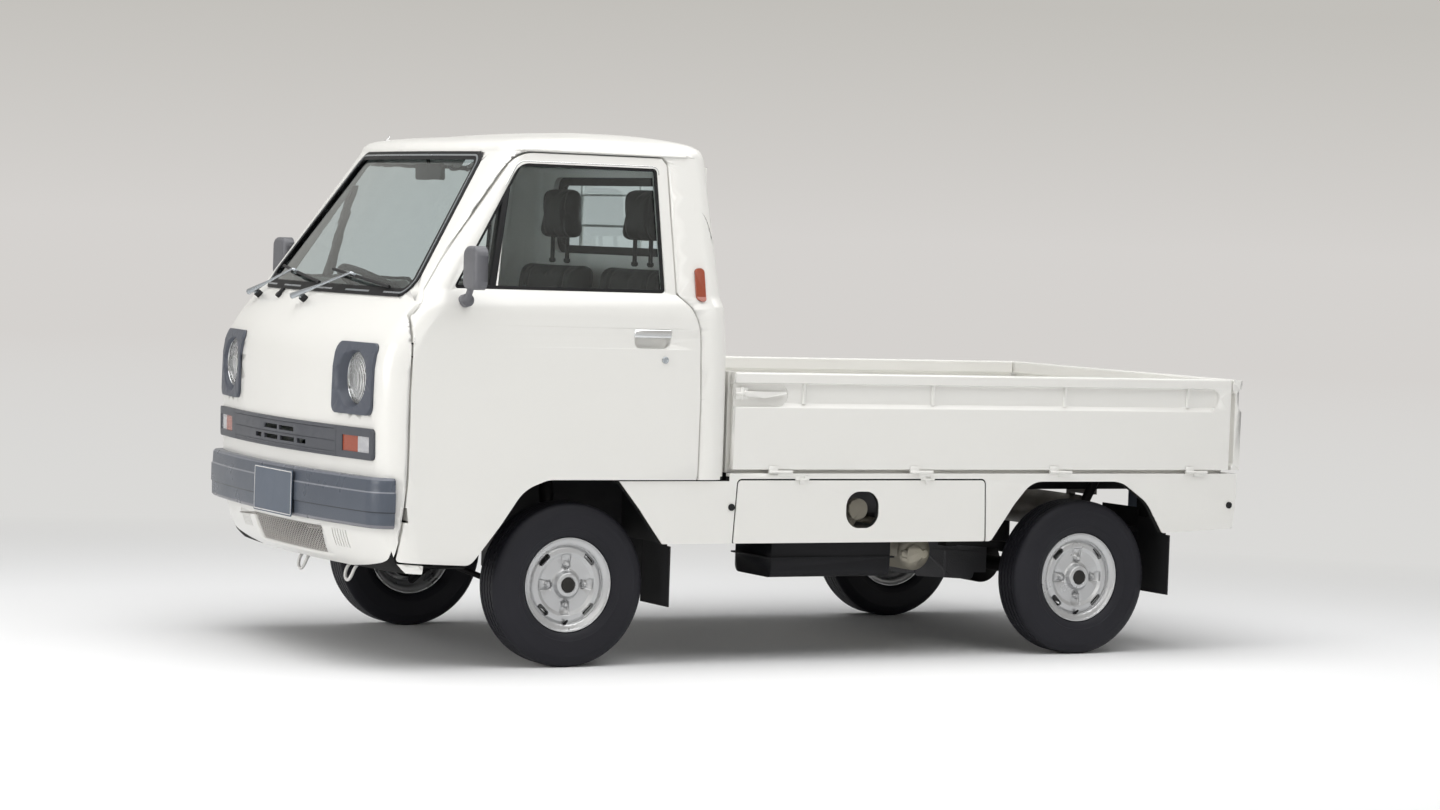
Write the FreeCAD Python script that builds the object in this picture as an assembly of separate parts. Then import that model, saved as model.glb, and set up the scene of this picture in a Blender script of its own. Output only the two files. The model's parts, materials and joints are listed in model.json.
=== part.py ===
import FreeCAD, Part
import math
import os

from FreeCAD import Vector

# Kei truck: a small cab-over pickup with three drop sides.
# Millimetres. +X is forward, +Y is the truck's left, +Z is up.
# The origin is on the ground, midway along the truck's length and width.

# Overall sizes and running gear
BUMPER_X = 1597.5
TAIL_X = -1590.0
HALF_WIDTH = 697.0
FRONT_AXLE_X = 868.0
REAR_AXLE_X = -997.0
TYRE_R = 252.0
TYRE_WIDTH = 130.0
AXLE_Z = TYRE_R
HALF_TRACK = 596.0
AXLE_R = 16.0
AXLE_FIT = 0.05

# Clearances and shared walls
GAP = 6.0
SEAT = 0.3
WALL = 38.0
FRONT_CROWN_R = 3745.0
BACK_CORNER_R = 60.0
LEVEL_STEPS = 2
DOOR_LIP_DEPTH = 52.5
DOOR_LIP_WALL = 8.0

# Cab sections, from the apron up: height, nose, half width, front corner radius, back
LOWER_LEVELS = (
    (294.0, 1478.0, 690.0, 84.0, 350.0),
    (322.0, 1507.0, 693.0, 90.0, 350.0),
    (360.0, 1526.0, 695.0, 93.0, 350.0),
    (420.0, 1544.0, 697.0, 95.0, 350.0),
    (560.0, 1560.0, 697.0, 95.0, 350.0),
    (740.0, 1566.0, 697.0, 95.0, 350.0),
    (900.0, 1564.0, 697.0, 95.0, 352.0),
    (975.0, 1546.0, 697.0, 95.0, 354.0),
    (1041.0, 1505.0, 696.0, 90.0, 358.0),
    (1105.0, 1450.0, 693.0, 80.0, 362.0),
)
BELT_LEVEL = (1140.0, 1425.6, 668.0, 76.0, 366.0)
HEADER_LEVEL = (1560.0, 1133.0, 583.0, 75.0, 392.0)
ROOF_LEVELS = (
    (1560.0, 1133.0, 583.0, 75.0, 392.0),
    (1577.0, 1127.0, 580.0, 76.0, 397.0),
    (1591.0, 1108.0, 572.0, 80.0, 405.0),
    (1602.0, 1068.0, 555.0, 90.0, 419.0),
    (1611.0, 1000.0, 527.0, 110.0, 441.0),
    (1621.0, 880.0, 468.0, 130.0, 480.0),
    (1630.0, 800.0, 380.0, 120.0, 520.0),
    (1636.0, 735.0, 260.0, 80.0, 545.0),
)

# Door outline in side view, from the front lower corner round the wheel arch and up
DOOR_OUTLINE = (
    (1447.0, 329.0, 12.0),
    (1219.0, 318.0, 40.0),
    (1123.0, 441.0, 300.0),
    (1050.0, 545.0, 120.0),
    (971.0, 576.0, 90.0),
    (728.0, 576.0, 0.0),
    (462.0, 576.0, 6.0),
    (461.0, 823.0, 0.0),
    (470.0, 1080.0, 150.0),
    (543.0, 1146.0, 12.0),
    (548.0, 1561.0, 22.0),
    (1052.0, 1561.0, 110.0),
    (1330.0, 1200.0, 0.0),
    (1423.0, 1075.0, 80.0),
    (1429.0, 830.0, 0.0),
    (1428.0, 576.0, 900.0),
)
GLASS_OUTLINE = (
    (577.0, 1147.0, 8.0),
    (582.0, 1529.0, 14.0),
    (1048.0, 1529.0, 60.0),
    (1290.0, 1147.0, 8.0),
)
DIVIDER_BOTTOM_X = 1158.0
DIVIDER_TOP_X = 1078.0
DIVIDER_WIDTH = 16.0
DOOR_HINGE_X = 1421.0
DOOR_HINGE_Y = 690.0
HINGE_ZS = (470.0, 960.0)
HINGE_HEIGHT = 34.0
DOOR_SWING_R = 46.0
HINGE_PIN_R = 3.0
HINGE_ARM_WALL = 8.0
HINGE_KNUCKLE_R = 4.0
PIN_FIT = 0.05
HANDLE_X = 632.0
HANDLE_Z = 1012.0

# Front wheel opening behind the door's edge, and the panel between door and bed
SILL_BOTTOM_Z = 378.0
ARCH_BACK = ((728.0, 576.0, 0.0), (653.0, 484.0, 200.0), (573.0, SILL_BOTTOM_Z, 0.0))

# Windscreen and rear window outlines in end view
SCREEN_BOTTOM_Z = 1114.0
SCREEN_TOP_Z = 1562.0
SCREEN_BOTTOM_HALF = 592.0
SCREEN_TOP_HALF = 462.0
SCREEN_CORNER_R = 55.0
SEAL_WIDTH = 26.0
REAR_GLASS_BOTTOM_Z = 1255.0
REAR_GLASS_TOP_Z = 1505.0
REAR_GLASS_HALF = 490.0

# Nose fittings
LAMP_Y = 501.0
LAMP_Z = 868.0
LAMP_R = 76.0
BEZEL_HALF_Y = 114.0
BEZEL_HALF_Z = 108.0
BEZEL_PROUD = 10.0
DISH_R = 99.0
DISH_WALL = 3.0
GRILLE_HALF_Y = 630.0
GRILLE_LOW_Z = 628.0
GRILLE_TOP_Z = 722.0
GRILLE_SEAM_Y = 420.0
GRILLE_GROOVE_ZS = (711.0, 675.0, 643.0, 636.0)
GRILLE_SLOT_HALF = 7.0
GRILLE_SLOTS = (
    (691.0, (-113.0, 1.0)),
    (691.0, (18.0, 131.0)),
    (659.0, (-189.0, -137.0)),
    (659.0, (-109.0, 5.0)),
    (659.0, (26.0, 136.0)),
    (659.0, (158.0, 220.0)),
)
LENS_IN_Y = 456.0
LENS_SPLIT_Y = 544.0
LENS_OUT_Y = 611.0
APRON_SLOT_YS = (347.0, 364.0, 381.0, 398.0, 415.0, 432.0)
APRON_SCREEN = ((-264.0, 322.0, 6.0), (264.0, 322.0, 6.0), (283.0, 406.0, 6.0), (-283.0, 406.0, 6.0))
BUMPER_LOW_Z = 430.0
BUMPER_TOP_Z = 580.0
BUMPER_BANDS = (
    (0.0, 10.0), (6.0, 4.0), (47.0, 3.0), (50.0, 0.0), (106.0, 0.0), (109.0, 3.5), (143.0, 5.0), (150.0, 11.0)
)
BUMPER_END_X = 1471.0
BUMPER_WALL = 24.0
BUMPER_HALF_Y = HALF_WIDTH + 7.0
BUMPER_CORNER_R = 84.0

# Load bed
BED_FRONT_X = 342.0
BED_FLOOR_Z = 620.0
BED_FLOOR_WALL = 24.0
GATE_OUTER_Y = 693.0
GATE_LOW_Z = 608.0
GATE_TOP_Z = 910.0
GATE_RAIL_WALL = 38.0
GATE_PANEL_WALL = 26.0
GATE_RAIL_LOW_Z = 878.0
GATE_CHANNEL_LOW_Z = 815.0
GATE_CHANNEL_DEPTH = 13.0
GATE_BACK_X = -1545.0
GATE_SCOOP_X = -1500.0
GATE_HINGE_Y = 696.0
GATE_HINGE_Z = 601.0
GATE_HINGE_XS = (169.0, -345.0, -875.0, -1412.0)
GATE_RIB_XS = (86.0, -387.0, -890.0, -1375.0)
TAILGATE_HINGE_X = TAIL_X - 3.0
TAILGATE_HINGE_YS = (-470.0, 470.0)
HINGE_R = 5.0
PIN_R = 2.5
SKIRT_OUTER_Y = 691.0
SKIRT_WALL = 26.0
SKIRT_TOP_Z = 596.0
SILL_TOP_Z = 572.0
SKIRT_STOP_X = 336.0
STOP_R = 11.0
SKIRT_BACK_X = -1582.0
LID_FRONT_X = 313.0
LID_BACK_X = -597.0
LID_TOP_Z = 574.0
LID_HINGE_Z = 577.5
LID_HINGE_Y = SKIRT_OUTER_Y + 3.2
LID_HINGE_XS = (88.0, -372.0)
LID_GAP = 5.0
LID_WALL = 20.0
REAR_WELL_X = -1325.0
FILLER_X = -137.0
FILLER_Z = 481.0

# Steering and seats
BALL_Y = 530.0
BALL_Z = 165.0
STRUT_TOP_Y = 460.0
STRUT_TOP_Z = 588.0
WHEEL_CENTRE = Vector(1050.0, -345.0, 1090.0)
COLUMN_TILT = 30.0
STEERING_R = 190.0
STUB_R = 9.0
DECK_Z = 620.0
FOOTWELL_Z = 384.0
SEAT_Y = 300.0
RAIL_Y = 330.0
RAIL_HALF = 24.0


def lift_xz(u, v):
    return Vector(u, 0.0, v)


def lift_yz(u, v):
    return Vector(0.0, u, v)


def lift_xy(u, v):
    return Vector(u, v, 0.0)


def rounded_wire(points, lift):
    """A closed wire of straight runs whose corners have each point's own radius."""
    corners = []
    count = len(points)
    for i, point in enumerate(points):
        here = Vector(point[0], point[1], 0.0)
        before = Vector(points[i - 1][0], points[i - 1][1], 0.0)
        after = Vector(points[(i + 1) % count][0], points[(i + 1) % count][1], 0.0)
        radius = point[2] if len(point) > 2 else 0.0
        into = (before - here).normalize()
        out = (after - here).normalize()
        turn = math.pi - into.getAngle(out)
        if radius <= 0.0 or turn < 0.001:
            corners.append((here, None, here))
            continue
        reach = radius * math.tan(turn / 2.0)
        bisector = (into + out).normalize()
        middle = here + bisector * (radius / math.cos(turn / 2.0) - radius)
        corners.append((here + into * reach, middle, here + out * reach))
    edges = []
    for i, corner in enumerate(corners):
        start, middle, end = [None if p is None else lift(p.x, p.y) for p in corner]
        if middle is not None:
            edges.append(Part.Arc(start, middle, end).toShape())
        following = corners[(i + 1) % count][0]
        following = lift(following.x, following.y)
        if end.distanceToPoint(following) > 0.01:
            edges.append(Part.LineSegment(end, following).toShape())
    return Part.Wire(edges)


def prism(points, lift, start, end):
    """The outline raised from start to end along the axis that its plane lacks."""
    along = lift_normal(lift)
    face = Part.Face(rounded_wire(points, lift))
    face.translate(along * start)
    return face.extrude(along * (end - start))


def lift_normal(lift):
    if lift is lift_xz:
        return Vector(0.0, 1.0, 0.0)
    if lift is lift_yz:
        return Vector(1.0, 0.0, 0.0)
    return Vector(0.0, 0.0, 1.0)


def box(x0, x1, y0, y1, z0, z1):
    return Part.makeBox(x1 - x0, y1 - y0, z1 - z0, Vector(x0, y0, z0))


def cylinder(start, end, radius):
    along = end - start
    return Part.makeCylinder(radius, along.Length, start, along)


def cone(start, end, radius_start, radius_end):
    along = end - start
    return Part.makeCone(radius_start, radius_end, along.Length, start, along)


def mirrored(shape):
    return shape.mirror(Vector(0.0, 0.0, 0.0), Vector(0.0, 1.0, 0.0))


def both_sides(shape):
    return Part.makeCompound([shape, mirrored(shape)])


def joined(shapes):
    whole = shapes[0].fuse(list(shapes[1:])) if len(shapes) > 1 else shapes[0]
    return whole.removeSplitter()


def rod(points, radius, bend):
    """A round rod along straight runs joined by bends of one radius."""
    edges = []
    last = points[0]
    for i in range(1, len(points) - 1):
        into = (points[i - 1] - points[i]).normalize()
        out = (points[i + 1] - points[i]).normalize()
        turn = math.pi - into.getAngle(out)
        reach = bend * math.tan(turn / 2.0)
        middle = points[i] + (into + out).normalize() * (bend / math.cos(turn / 2.0) - bend)
        start = points[i] + into * reach
        end = points[i] + out * reach
        edges.append(Part.LineSegment(last, start).toShape())
        edges.append(Part.Arc(start, middle, end).toShape())
        last = end
    edges.append(Part.LineSegment(last, points[-1]).toShape())
    path = Part.Wire(edges)
    along = (points[1] - points[0]).normalize()
    profile = Part.Wire(Part.makeCircle(radius, points[0], along))
    return path.makePipeShell([profile], True, False)


def grown(points, amount):
    """The same outline, moved outwards all round by an amount."""
    face = Part.Face(rounded_wire(points, lift_xy))
    return face.makeOffset2D(amount, 0, False, False, True) if amount else face


def outline_prism(points, lift, amount, start, end):
    """A prism on a grown outline that was drawn in its own plane."""
    face = grown(points, amount)
    if lift is lift_xz:
        face.rotate(Vector(0, 0, 0), Vector(1, 0, 0), 90.0)
        return face.translated(Vector(0, start, 0)).extrude(Vector(0, end - start, 0))
    face.rotate(Vector(0, 0, 0), Vector(1, 1, 1), 120.0)
    return face.translated(Vector(start, 0, 0)).extrude(Vector(end - start, 0, 0))


# Cab body

def cab_section(level, inset):
    """One level outline: flat back, straight sides, round corners and a crowned nose."""
    z, nose, half, corner, back = level
    nose -= inset
    half -= inset
    corner -= inset
    back += inset
    back_r = BACK_CORNER_R - inset
    crown_r = FRONT_CROWN_R - inset
    centre_x = nose - crown_r
    corner_y = half - corner
    corner_x = centre_x + math.sqrt((crown_r - corner) ** 2 - corner_y ** 2)
    lean = math.atan2(corner_y, corner_x - centre_x)
    front = Vector(corner_x + corner * math.cos(lean), corner_y + corner * math.sin(lean), z)
    mid_angle = (lean + math.pi / 2.0) / 2.0
    middle = Vector(corner_x + corner * math.cos(mid_angle), corner_y + corner * math.sin(mid_angle), z)
    side = Vector(corner_x, half, z)
    rear = Vector(back + back_r, half, z)
    diagonal = back_r * (1.0 - math.sqrt(0.5))
    rear_middle = Vector(back + diagonal, half - diagonal, z)
    rear_end = Vector(back, half - back_r, z)

    def other(p):
        return Vector(p.x, -p.y, p.z)

    return Part.Wire([
        Part.LineSegment(other(rear_end), rear_end).toShape(),
        Part.Arc(rear_end, rear_middle, rear).toShape(),
        Part.LineSegment(rear, side).toShape(),
        Part.Arc(side, middle, front).toShape(),
        Part.Arc(front, Vector(nose, 0.0, z), other(front)).toShape(),
        Part.Arc(other(front), other(middle), other(side)).toShape(),
        Part.LineSegment(other(side), other(rear)).toShape(),
        Part.Arc(other(rear), other(rear_middle), other(rear_end)).toShape(),
    ])


def level_between(low, high, z):
    share = (z - low[0]) / (high[0] - low[0])
    return tuple(a + (b - a) * share for a, b in zip(low, high))


def hermite(column, i, share):
    """A monotone curve through a column of values, between its i-th and next one."""
    last = len(column) - 1

    def slope(k):
        before = column[max(k, 1)] - column[max(k, 1) - 1]
        after = column[min(k, last - 1) + 1] - column[min(k, last - 1)]
        if before * after <= 0.0:
            return 0.0
        return 2.0 * before * after / (before + after)

    start, end = column[i], column[i + 1]
    rest = 1.0 - share
    blend = share * share * (3.0 - 2.0 * share)
    bend = share * rest * (rest * slope(i) - share * slope(i + 1))
    return start + (end - start) * blend + bend


def smoothed(levels, steps):
    """The levels with smooth steps filled in between them."""
    columns = list(zip(*levels))
    filled = []
    for i in range(len(levels) - 1):
        for step in range(steps):
            filled.append(tuple(hermite(column, i, step / steps) for column in columns))
    return filled + [levels[-1]]


CAB_FORMS = {}


def cab_solid(inset):
    """The cab's whole form, shrunk by an inset. Each inset's form is made once."""
    if inset not in CAB_FORMS:
        CAB_FORMS[inset] = cab_form(inset)
    return CAB_FORMS[inset]


def cab_form(inset):
    rise = HEADER_LEVEL[0] - BELT_LEVEL[0]
    slopes = [(BELT_LEVEL[i] - HEADER_LEVEL[i]) / rise * inset for i in range(5)]
    levels = smoothed(LOWER_LEVELS, LEVEL_STEPS) + [BELT_LEVEL]
    for level in smoothed(ROOF_LEVELS, LEVEL_STEPS):
        levels.append((level[0] - inset,) + tuple(a + b for a, b in zip(level[1:], slopes[1:])))
    return Part.makeLoft([cab_section(level, inset) for level in levels], True, True)


def nose_x(y, z):
    """Where the nose's skin is at a width and height."""
    levels = LOWER_LEVELS + (BELT_LEVEL, HEADER_LEVEL)
    for low, high in zip(levels, levels[1:]):
        if z <= high[0]:
            nose = level_between(low, high, z)[1]
            return nose - FRONT_CROWN_R + math.sqrt(FRONT_CROWN_R ** 2 - y * y)
    return HEADER_LEVEL[1]


def side_y(z):
    """Where the greenhouse's side is at a height above the belt."""
    return level_between(BELT_LEVEL, HEADER_LEVEL, z)[2]


def side_zone(depth):
    """Everything beside the cab from a depth inside its skin outwards, on the left."""
    top_z = HEADER_LEVEL[0] + 5.0
    points = (
        (HALF_WIDTH - depth, 250.0),
        (HALF_WIDTH - depth, LOWER_LEVELS[-1][0]),
        (BELT_LEVEL[2] - depth, BELT_LEVEL[0]),
        (HEADER_LEVEL[2] - depth, top_z),
        (HALF_WIDTH + 100.0, top_z),
        (HALF_WIDTH + 100.0, 250.0),
    )
    return prism(points, lift_yz, 300.0, 1500.0)


def side_slab(outer, inner):
    """A flat leaning slab between two depths inside the greenhouse's left side."""
    points = (
        (BELT_LEVEL[2] - outer, BELT_LEVEL[0]),
        (HEADER_LEVEL[2] - outer, HEADER_LEVEL[0]),
        (HEADER_LEVEL[2] - inner, HEADER_LEVEL[0]),
        (BELT_LEVEL[2] - inner, BELT_LEVEL[0]),
    )
    return prism(points, lift_yz, 400.0, 1400.0)


def door_room():
    """What the floor and dashboard leave free round the left door's edge and its lip."""
    return door_block(GAP + 9.0, 90.0).common(cab_shell(20.0, DOOR_LIP_DEPTH + DOOR_LIP_WALL + SEAT))


def door_block(amount, depth):
    """The left door's room in the cab wall, grown all round by an amount."""
    block = outline_prism(DOOR_OUTLINE, lift_xz, amount, 400.0, HALF_WIDTH + 90.0)
    return block.common(side_zone(depth))


def screen_outline(low_half, top_half, low_z, top_z, radius):
    return (
        (-low_half, low_z, radius),
        (low_half, low_z, radius),
        (top_half, top_z, radius),
        (-top_half, top_z, radius),
    )


def front_screen_prism(amount):
    points = screen_outline(
        SCREEN_BOTTOM_HALF, SCREEN_TOP_HALF, SCREEN_BOTTOM_Z, SCREEN_TOP_Z, SCREEN_CORNER_R
    )
    return outline_prism(points, lift_yz, amount, 900.0, 1700.0)


def rear_screen_prism(amount):
    points = screen_outline(
        REAR_GLASS_HALF, REAR_GLASS_HALF - 30.0, REAR_GLASS_BOTTOM_Z, REAR_GLASS_TOP_Z, 45.0
    )
    return outline_prism(points, lift_yz, amount, 300.0, 600.0)


def glass_in(opening_prism):
    """The sheet of glass, its rubber seal, and the hole that both sit in."""
    sheet = cab_shell(6.0, 11.0).common(opening_prism(-SEAL_WIDTH * 0.5))
    ring = opening_prism(0.0).cut(opening_prism(-SEAL_WIDTH))
    seal = cab_shell(-4.0, 20.0).common(ring).cut(sheet)
    return sheet, seal


def cab_shell(outer_inset, inner_inset):
    return cab_solid(outer_inset).cut(cab_solid(inner_inset))


# Door hinges: an arm from the pillar reaches a pin inside the door's front edge


def hinge_pocket(z):
    half = HINGE_HEIGHT / 2.0 + 5.0
    return box(DOOR_HINGE_X - 12.0, DOOR_HINGE_X + 40.0, 600.0, DOOR_HINGE_Y + 4.5, z - half, z + half)


def door_swing():
    """The room that the door's front edge turns through, behind the nose's corner."""
    turn = Part.makeCylinder(DOOR_SWING_R, 900.0, Vector(DOOR_HINGE_X, DOOR_HINGE_Y, 250.0))
    return door_block(GAP, 60.0).common(turn)


def hinge_arm(z):
    half = HINGE_HEIGHT / 2.0
    low = z - half
    high = z + half
    side = HINGE_ARM_WALL / 2.0
    base = Vector(DOOR_HINGE_X, DOOR_HINGE_Y, low)
    knuckle = Part.makeCylinder(HINGE_KNUCKLE_R, HINGE_HEIGHT, base)
    inward = box(DOOR_HINGE_X - side, DOOR_HINGE_X + side, 634.0, DOOR_HINGE_Y, low, high)
    forward = box(DOOR_HINGE_X - side, DOOR_HINGE_X + 42.0, 626.0, 634.0, low, high)
    root = box(DOOR_HINGE_X + 30.0, DOOR_HINGE_X + 42.0, 626.0, 668.0, low, high)
    pin = Part.makeCylinder(HINGE_PIN_R, HINGE_HEIGHT + 34.0, Vector(base.x, base.y, low - 17.0))
    return joined([knuckle, inward, forward, root, pin])


def hinge_bore(z):
    low = z - HINGE_HEIGHT / 2.0 - 18.0
    return Part.makeCylinder(
        HINGE_PIN_R + PIN_FIT, HINGE_HEIGHT + 36.0, Vector(DOOR_HINGE_X, DOOR_HINGE_Y, low)
    )


def wheel_opening():
    """The front wheel's opening below the door's edge and ahead of the sill panel."""
    points = DOOR_OUTLINE[1:6] + ARCH_BACK[1:] + ((560.0, 250.0), (1219.0, 250.0))
    return prism(points, lift_xz, 300.0, HALF_WIDTH + 90.0)


def make_cab():
    """The cab's fixed panels, split where the real ones meet."""
    shell = cab_shell(0.0, WALL)
    left_room = door_block(GAP, WALL + GAP)
    rooms = [left_room, mirrored(left_room)]
    arches = [wheel_opening(), mirrored(wheel_opening())]
    body = shell.cut(rooms + arches)
    lip_back = DOOR_LIP_DEPTH + DOOR_LIP_WALL
    lip_ring = door_block(GAP + 8.0, lip_back + 8.0).cut(door_block(-14.0, lip_back + 28.0))
    lip = cab_shell(WALL - 4.0, lip_back).common(lip_ring)
    lip = lip.cut([door_block(GAP, DOOR_LIP_DEPTH), wheel_opening()])
    lip = lip.cut([hinge_pocket(z) for z in HINGE_ZS] + [door_swing()])

    nose_zone = box(1372.0, 1700.0, -800.0, 800.0, 250.0, LOWER_LEVELS[-1][0])
    nose = body.common(nose_zone).cut([door_swing(), mirrored(door_swing())])
    nose_lip = lip.common(nose_zone)
    arms = [hinge_arm(z) for z in HINGE_ZS]
    nose = joined([nose, nose_lip, mirrored(nose_lip)] + arms + [mirrored(a) for a in arms])

    roof_z = HEADER_LEVEL[0] + 6.0
    roof = body.common(box(300.0, 1300.0, -700.0, 700.0, roof_z, 1700.0))
    back_zone = box(300.0, 460.0, -615.0, 615.0, BED_FLOOR_Z - 20.0, roof_z)
    back_zone = back_zone.common(cab_solid(-1.0).cut(cab_solid(WALL + 1.0)))
    back = body.common(back_zone).cut(rear_screen_prism(0.0))

    floor_cut = box(300.0, 1460.0, -800.0, 800.0, 250.0, DOOR_OUTLINE[5][1])
    foot_cut = box(300.0, 400.0, -634.0, 634.0, 250.0, BED_FLOOR_Z - 20.0)
    frame = body.cut([nose_zone, back_zone, floor_cut, foot_cut])
    frame = frame.cut(box(300.0, 1300.0, -700.0, 700.0, roof_z, 1700.0))
    frame_lip = lip.cut(nose_zone)
    frame = joined([frame, frame_lip, mirrored(frame_lip)])
    frame = frame.cut(front_screen_prism(0.0))
    roof = joined([roof] + [drip_rail(), mirrored(drip_rail())])
    return nose, frame, Part.makeCompound([back, window_guard()]), roof


def drip_rail():
    """The gutter along the roof's left edge, over the door."""
    z = HEADER_LEVEL[0] + 7.0
    half = HEADER_LEVEL[2] - 3.0
    points = (
        (470.0, half - 8.0), (470.0, half + 2.0, 2.0), (482.0, half + 7.0, 4.0),
        (1030.0, half + 7.0, 4.0), (1046.0, half + 1.0, 2.0), (1046.0, half - 8.0),
    )
    return prism(points, lift_xy, z, z + 6.0)


def window_guard():
    """Bars across the rear window on the outside, whose short stays meet the back panel."""
    x = HEADER_LEVEL[4] - 62.0
    low = REAR_GLASS_BOTTOM_Z - 34.0
    high = REAR_GLASS_TOP_Z + 30.0
    half = REAR_GLASS_HALF - 60.0
    bars = [cylinder(Vector(x, -half - 8.0, z), Vector(x, half + 8.0, z), 5.0) for z in (1349.0, 1451.0)]
    for y in (-half, 0.0, half):
        bars.append(cylinder(Vector(x, y, low - 8.0), Vector(x, y, high + 8.0), 6.5))
        bars += [cylinder(Vector(x, y, z), Vector(x + 80.0, y, z), 5.0) for z in (low, high)]
    panel_points = (
        (BELT_LEVEL[4] - SEAT, BELT_LEVEL[0]), (HEADER_LEVEL[4] - SEAT, HEADER_LEVEL[0]),
        (500.0, HEADER_LEVEL[0]), (500.0, BELT_LEVEL[0]),
    )
    return joined(bars).cut(prism(panel_points, lift_xz, -500.0, 500.0))


def make_door():
    """The left door: skin, window frame and pocketed front edge, with its glass."""
    block = door_block(0.0, WALL)
    door = cab_shell(0.0, WALL).common(block)
    window = outline_prism(GLASS_OUTLINE, lift_xz, 0.0, 400.0, 800.0)
    half = DIVIDER_WIDTH / 2.0
    divider = prism(
        (
            (DIVIDER_BOTTOM_X - half, 1100.0),
            (DIVIDER_BOTTOM_X + half, 1100.0),
            (DIVIDER_TOP_X + half, 1560.0),
            (DIVIDER_TOP_X - half, 1560.0),
        ),
        lift_xz, 400.0, 800.0,
    )
    glass = side_slab(14.0, 18.0).common(window).cut(divider)
    divider = divider.common(side_slab(8.0, 26.0)).common(block)
    recess = prism(
        (
            (HANDLE_X - 62.0, HANDLE_Z - 34.0, 20.0),
            (HANDLE_X + 62.0, HANDLE_Z - 34.0, 20.0),
            (HANDLE_X + 62.0, HANDLE_Z + 26.0, 12.0),
            (HANDLE_X - 62.0, HANDLE_Z + 26.0, 12.0),
        ),
        lift_xz, HALF_WIDTH - 20.0, HALF_WIDTH + 10.0,
    )
    pull = prism(
        (
            (HANDLE_X - 62.0, HANDLE_Z + 2.0, 3.0),
            (HANDLE_X + 62.0, HANDLE_Z + 2.0, 3.0),
            (HANDLE_X + 62.0, HANDLE_Z + 22.0, 8.0),
            (HANDLE_X - 62.0, HANDLE_Z + 22.0, 8.0),
        ),
        lift_xz, HALF_WIDTH - 5.0, HALF_WIDTH + 4.0,
    )
    pockets = [hinge_pocket(z) for z in HINGE_ZS] + [hinge_bore(z) for z in HINGE_ZS]
    door = door.cut([window, recess] + pockets)
    door = joined([door, divider, pull])
    return door, glass


def make_floor():
    """The stepped floor pan with both wheel housings pressed into it."""
    well_y = 378.0
    wall = 6.0
    riser_x = 1172.0
    back_x = 545.0
    deck = box(360.0, riser_x + 12.0, -700.0, 700.0, DECK_Z - 20.0, DECK_Z)
    riser = box(riser_x, riser_x + 12.0, -700.0, 700.0, FOOTWELL_Z - 12.0, DECK_Z)
    well = box(riser_x, 1540.0, -700.0, 700.0, FOOTWELL_Z - 12.0, FOOTWELL_Z)
    inner = box(back_x, riser_x, well_y - wall, well_y, SILL_BOTTOM_Z, DECK_Z)
    reach = SKIRT_OUTER_Y - SKIRT_WALL
    rear = box(back_x, back_x + 12.0, well_y - wall, reach, SILL_BOTTOM_Z, SILL_TOP_Z)
    post = box(back_x, back_x + 12.0, well_y - wall, 640.0, SILL_BOTTOM_Z, DECK_Z)
    pan = joined([deck, riser, well]).common(cab_solid(WALL))
    pan = joined([pan, inner, mirrored(inner), rear, mirrored(rear), post, mirrored(post)])
    return pan.cut([door_room(), mirrored(door_room())])


def make_front_fittings(nose):
    """Headlamps sunk in dished square bezels, and every opening in the nose."""
    rim_x = nose_x(LAMP_Y, LAMP_Z) - 16.0
    centre = Vector(rim_x, LAMP_Y, LAMP_Z)
    ahead = Vector(1.0, 0.0, 0.0)
    bezel_points = (
        (LAMP_Y - BEZEL_HALF_Y, LAMP_Z - BEZEL_HALF_Z, 26.0),
        (LAMP_Y + BEZEL_HALF_Y, LAMP_Z - BEZEL_HALF_Z, 26.0),
        (LAMP_Y + BEZEL_HALF_Y, LAMP_Z + BEZEL_HALF_Z, 26.0),
        (LAMP_Y - BEZEL_HALF_Y, LAMP_Z + BEZEL_HALF_Z, 26.0),
    )
    plate = outline_prism(bezel_points, lift_yz, 0.0, 1300.0, 1700.0)
    plate = plate.common(cab_solid(-BEZEL_PROUD)).cut(cab_solid(-SEAT))
    reach = 46.0
    seat_r = LAMP_R + 3.0
    dish = cone(centre, centre + ahead * reach, seat_r, DISH_R)
    sleeve = cone(centre, centre + ahead * reach, seat_r + DISH_WALL, DISH_R + DISH_WALL)
    bezel = joined([plate, sleeve.common(cab_solid(-BEZEL_PROUD))]).cut(dish)
    hole = cylinder(centre - ahead * 130.0, centre + ahead * 130.0, DISH_R + DISH_WALL + 0.5)
    bowl = cone(centre - ahead * 58.0, centre, 34.0, seat_r - SEAT)
    bulge = 16.0
    sphere_r = (LAMP_R ** 2 + bulge ** 2) / (2.0 * bulge)
    lens = Part.makeSphere(sphere_r, centre + ahead * (bulge - sphere_r))
    lens = lens.common(cylinder(centre, centre + ahead * 40.0, LAMP_R))
    collar = cylinder(centre - ahead * 6.0, centre, DISH_R + DISH_WALL)
    collar = collar.cut(cylinder(centre - ahead * 7.0, centre + ahead, LAMP_R - 2.0))
    duct = box(1400.0, 1640.0, -246.0, 246.0, GRILLE_LOW_Z + 16.0, GRILLE_TOP_Z - 16.0)
    slots = [box(1300.0, 1640.0, y - 2.5, y + 2.5, 352.0, 406.0) for y in APRON_SLOT_YS]
    slots += [mirrored(slot) for slot in slots]
    pocket = outline_prism(APRON_SCREEN, lift_yz, 0.0, 1300.0, 1700.0).common(cab_shell(-1.0, 16.0))
    nose = nose.cut([hole, mirrored(hole), duct, pocket] + slots)
    bezel = joined([bezel, collar.cut(bowl)])
    return nose, both_sides(bezel), joined([bowl, lens])


def make_apron_screen():
    """The dark mesh backing sunk in the apron."""
    return outline_prism(APRON_SCREEN, lift_yz, -SEAT, 1300.0, 1700.0).common(cab_shell(9.0, 16.0 - SEAT))


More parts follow.
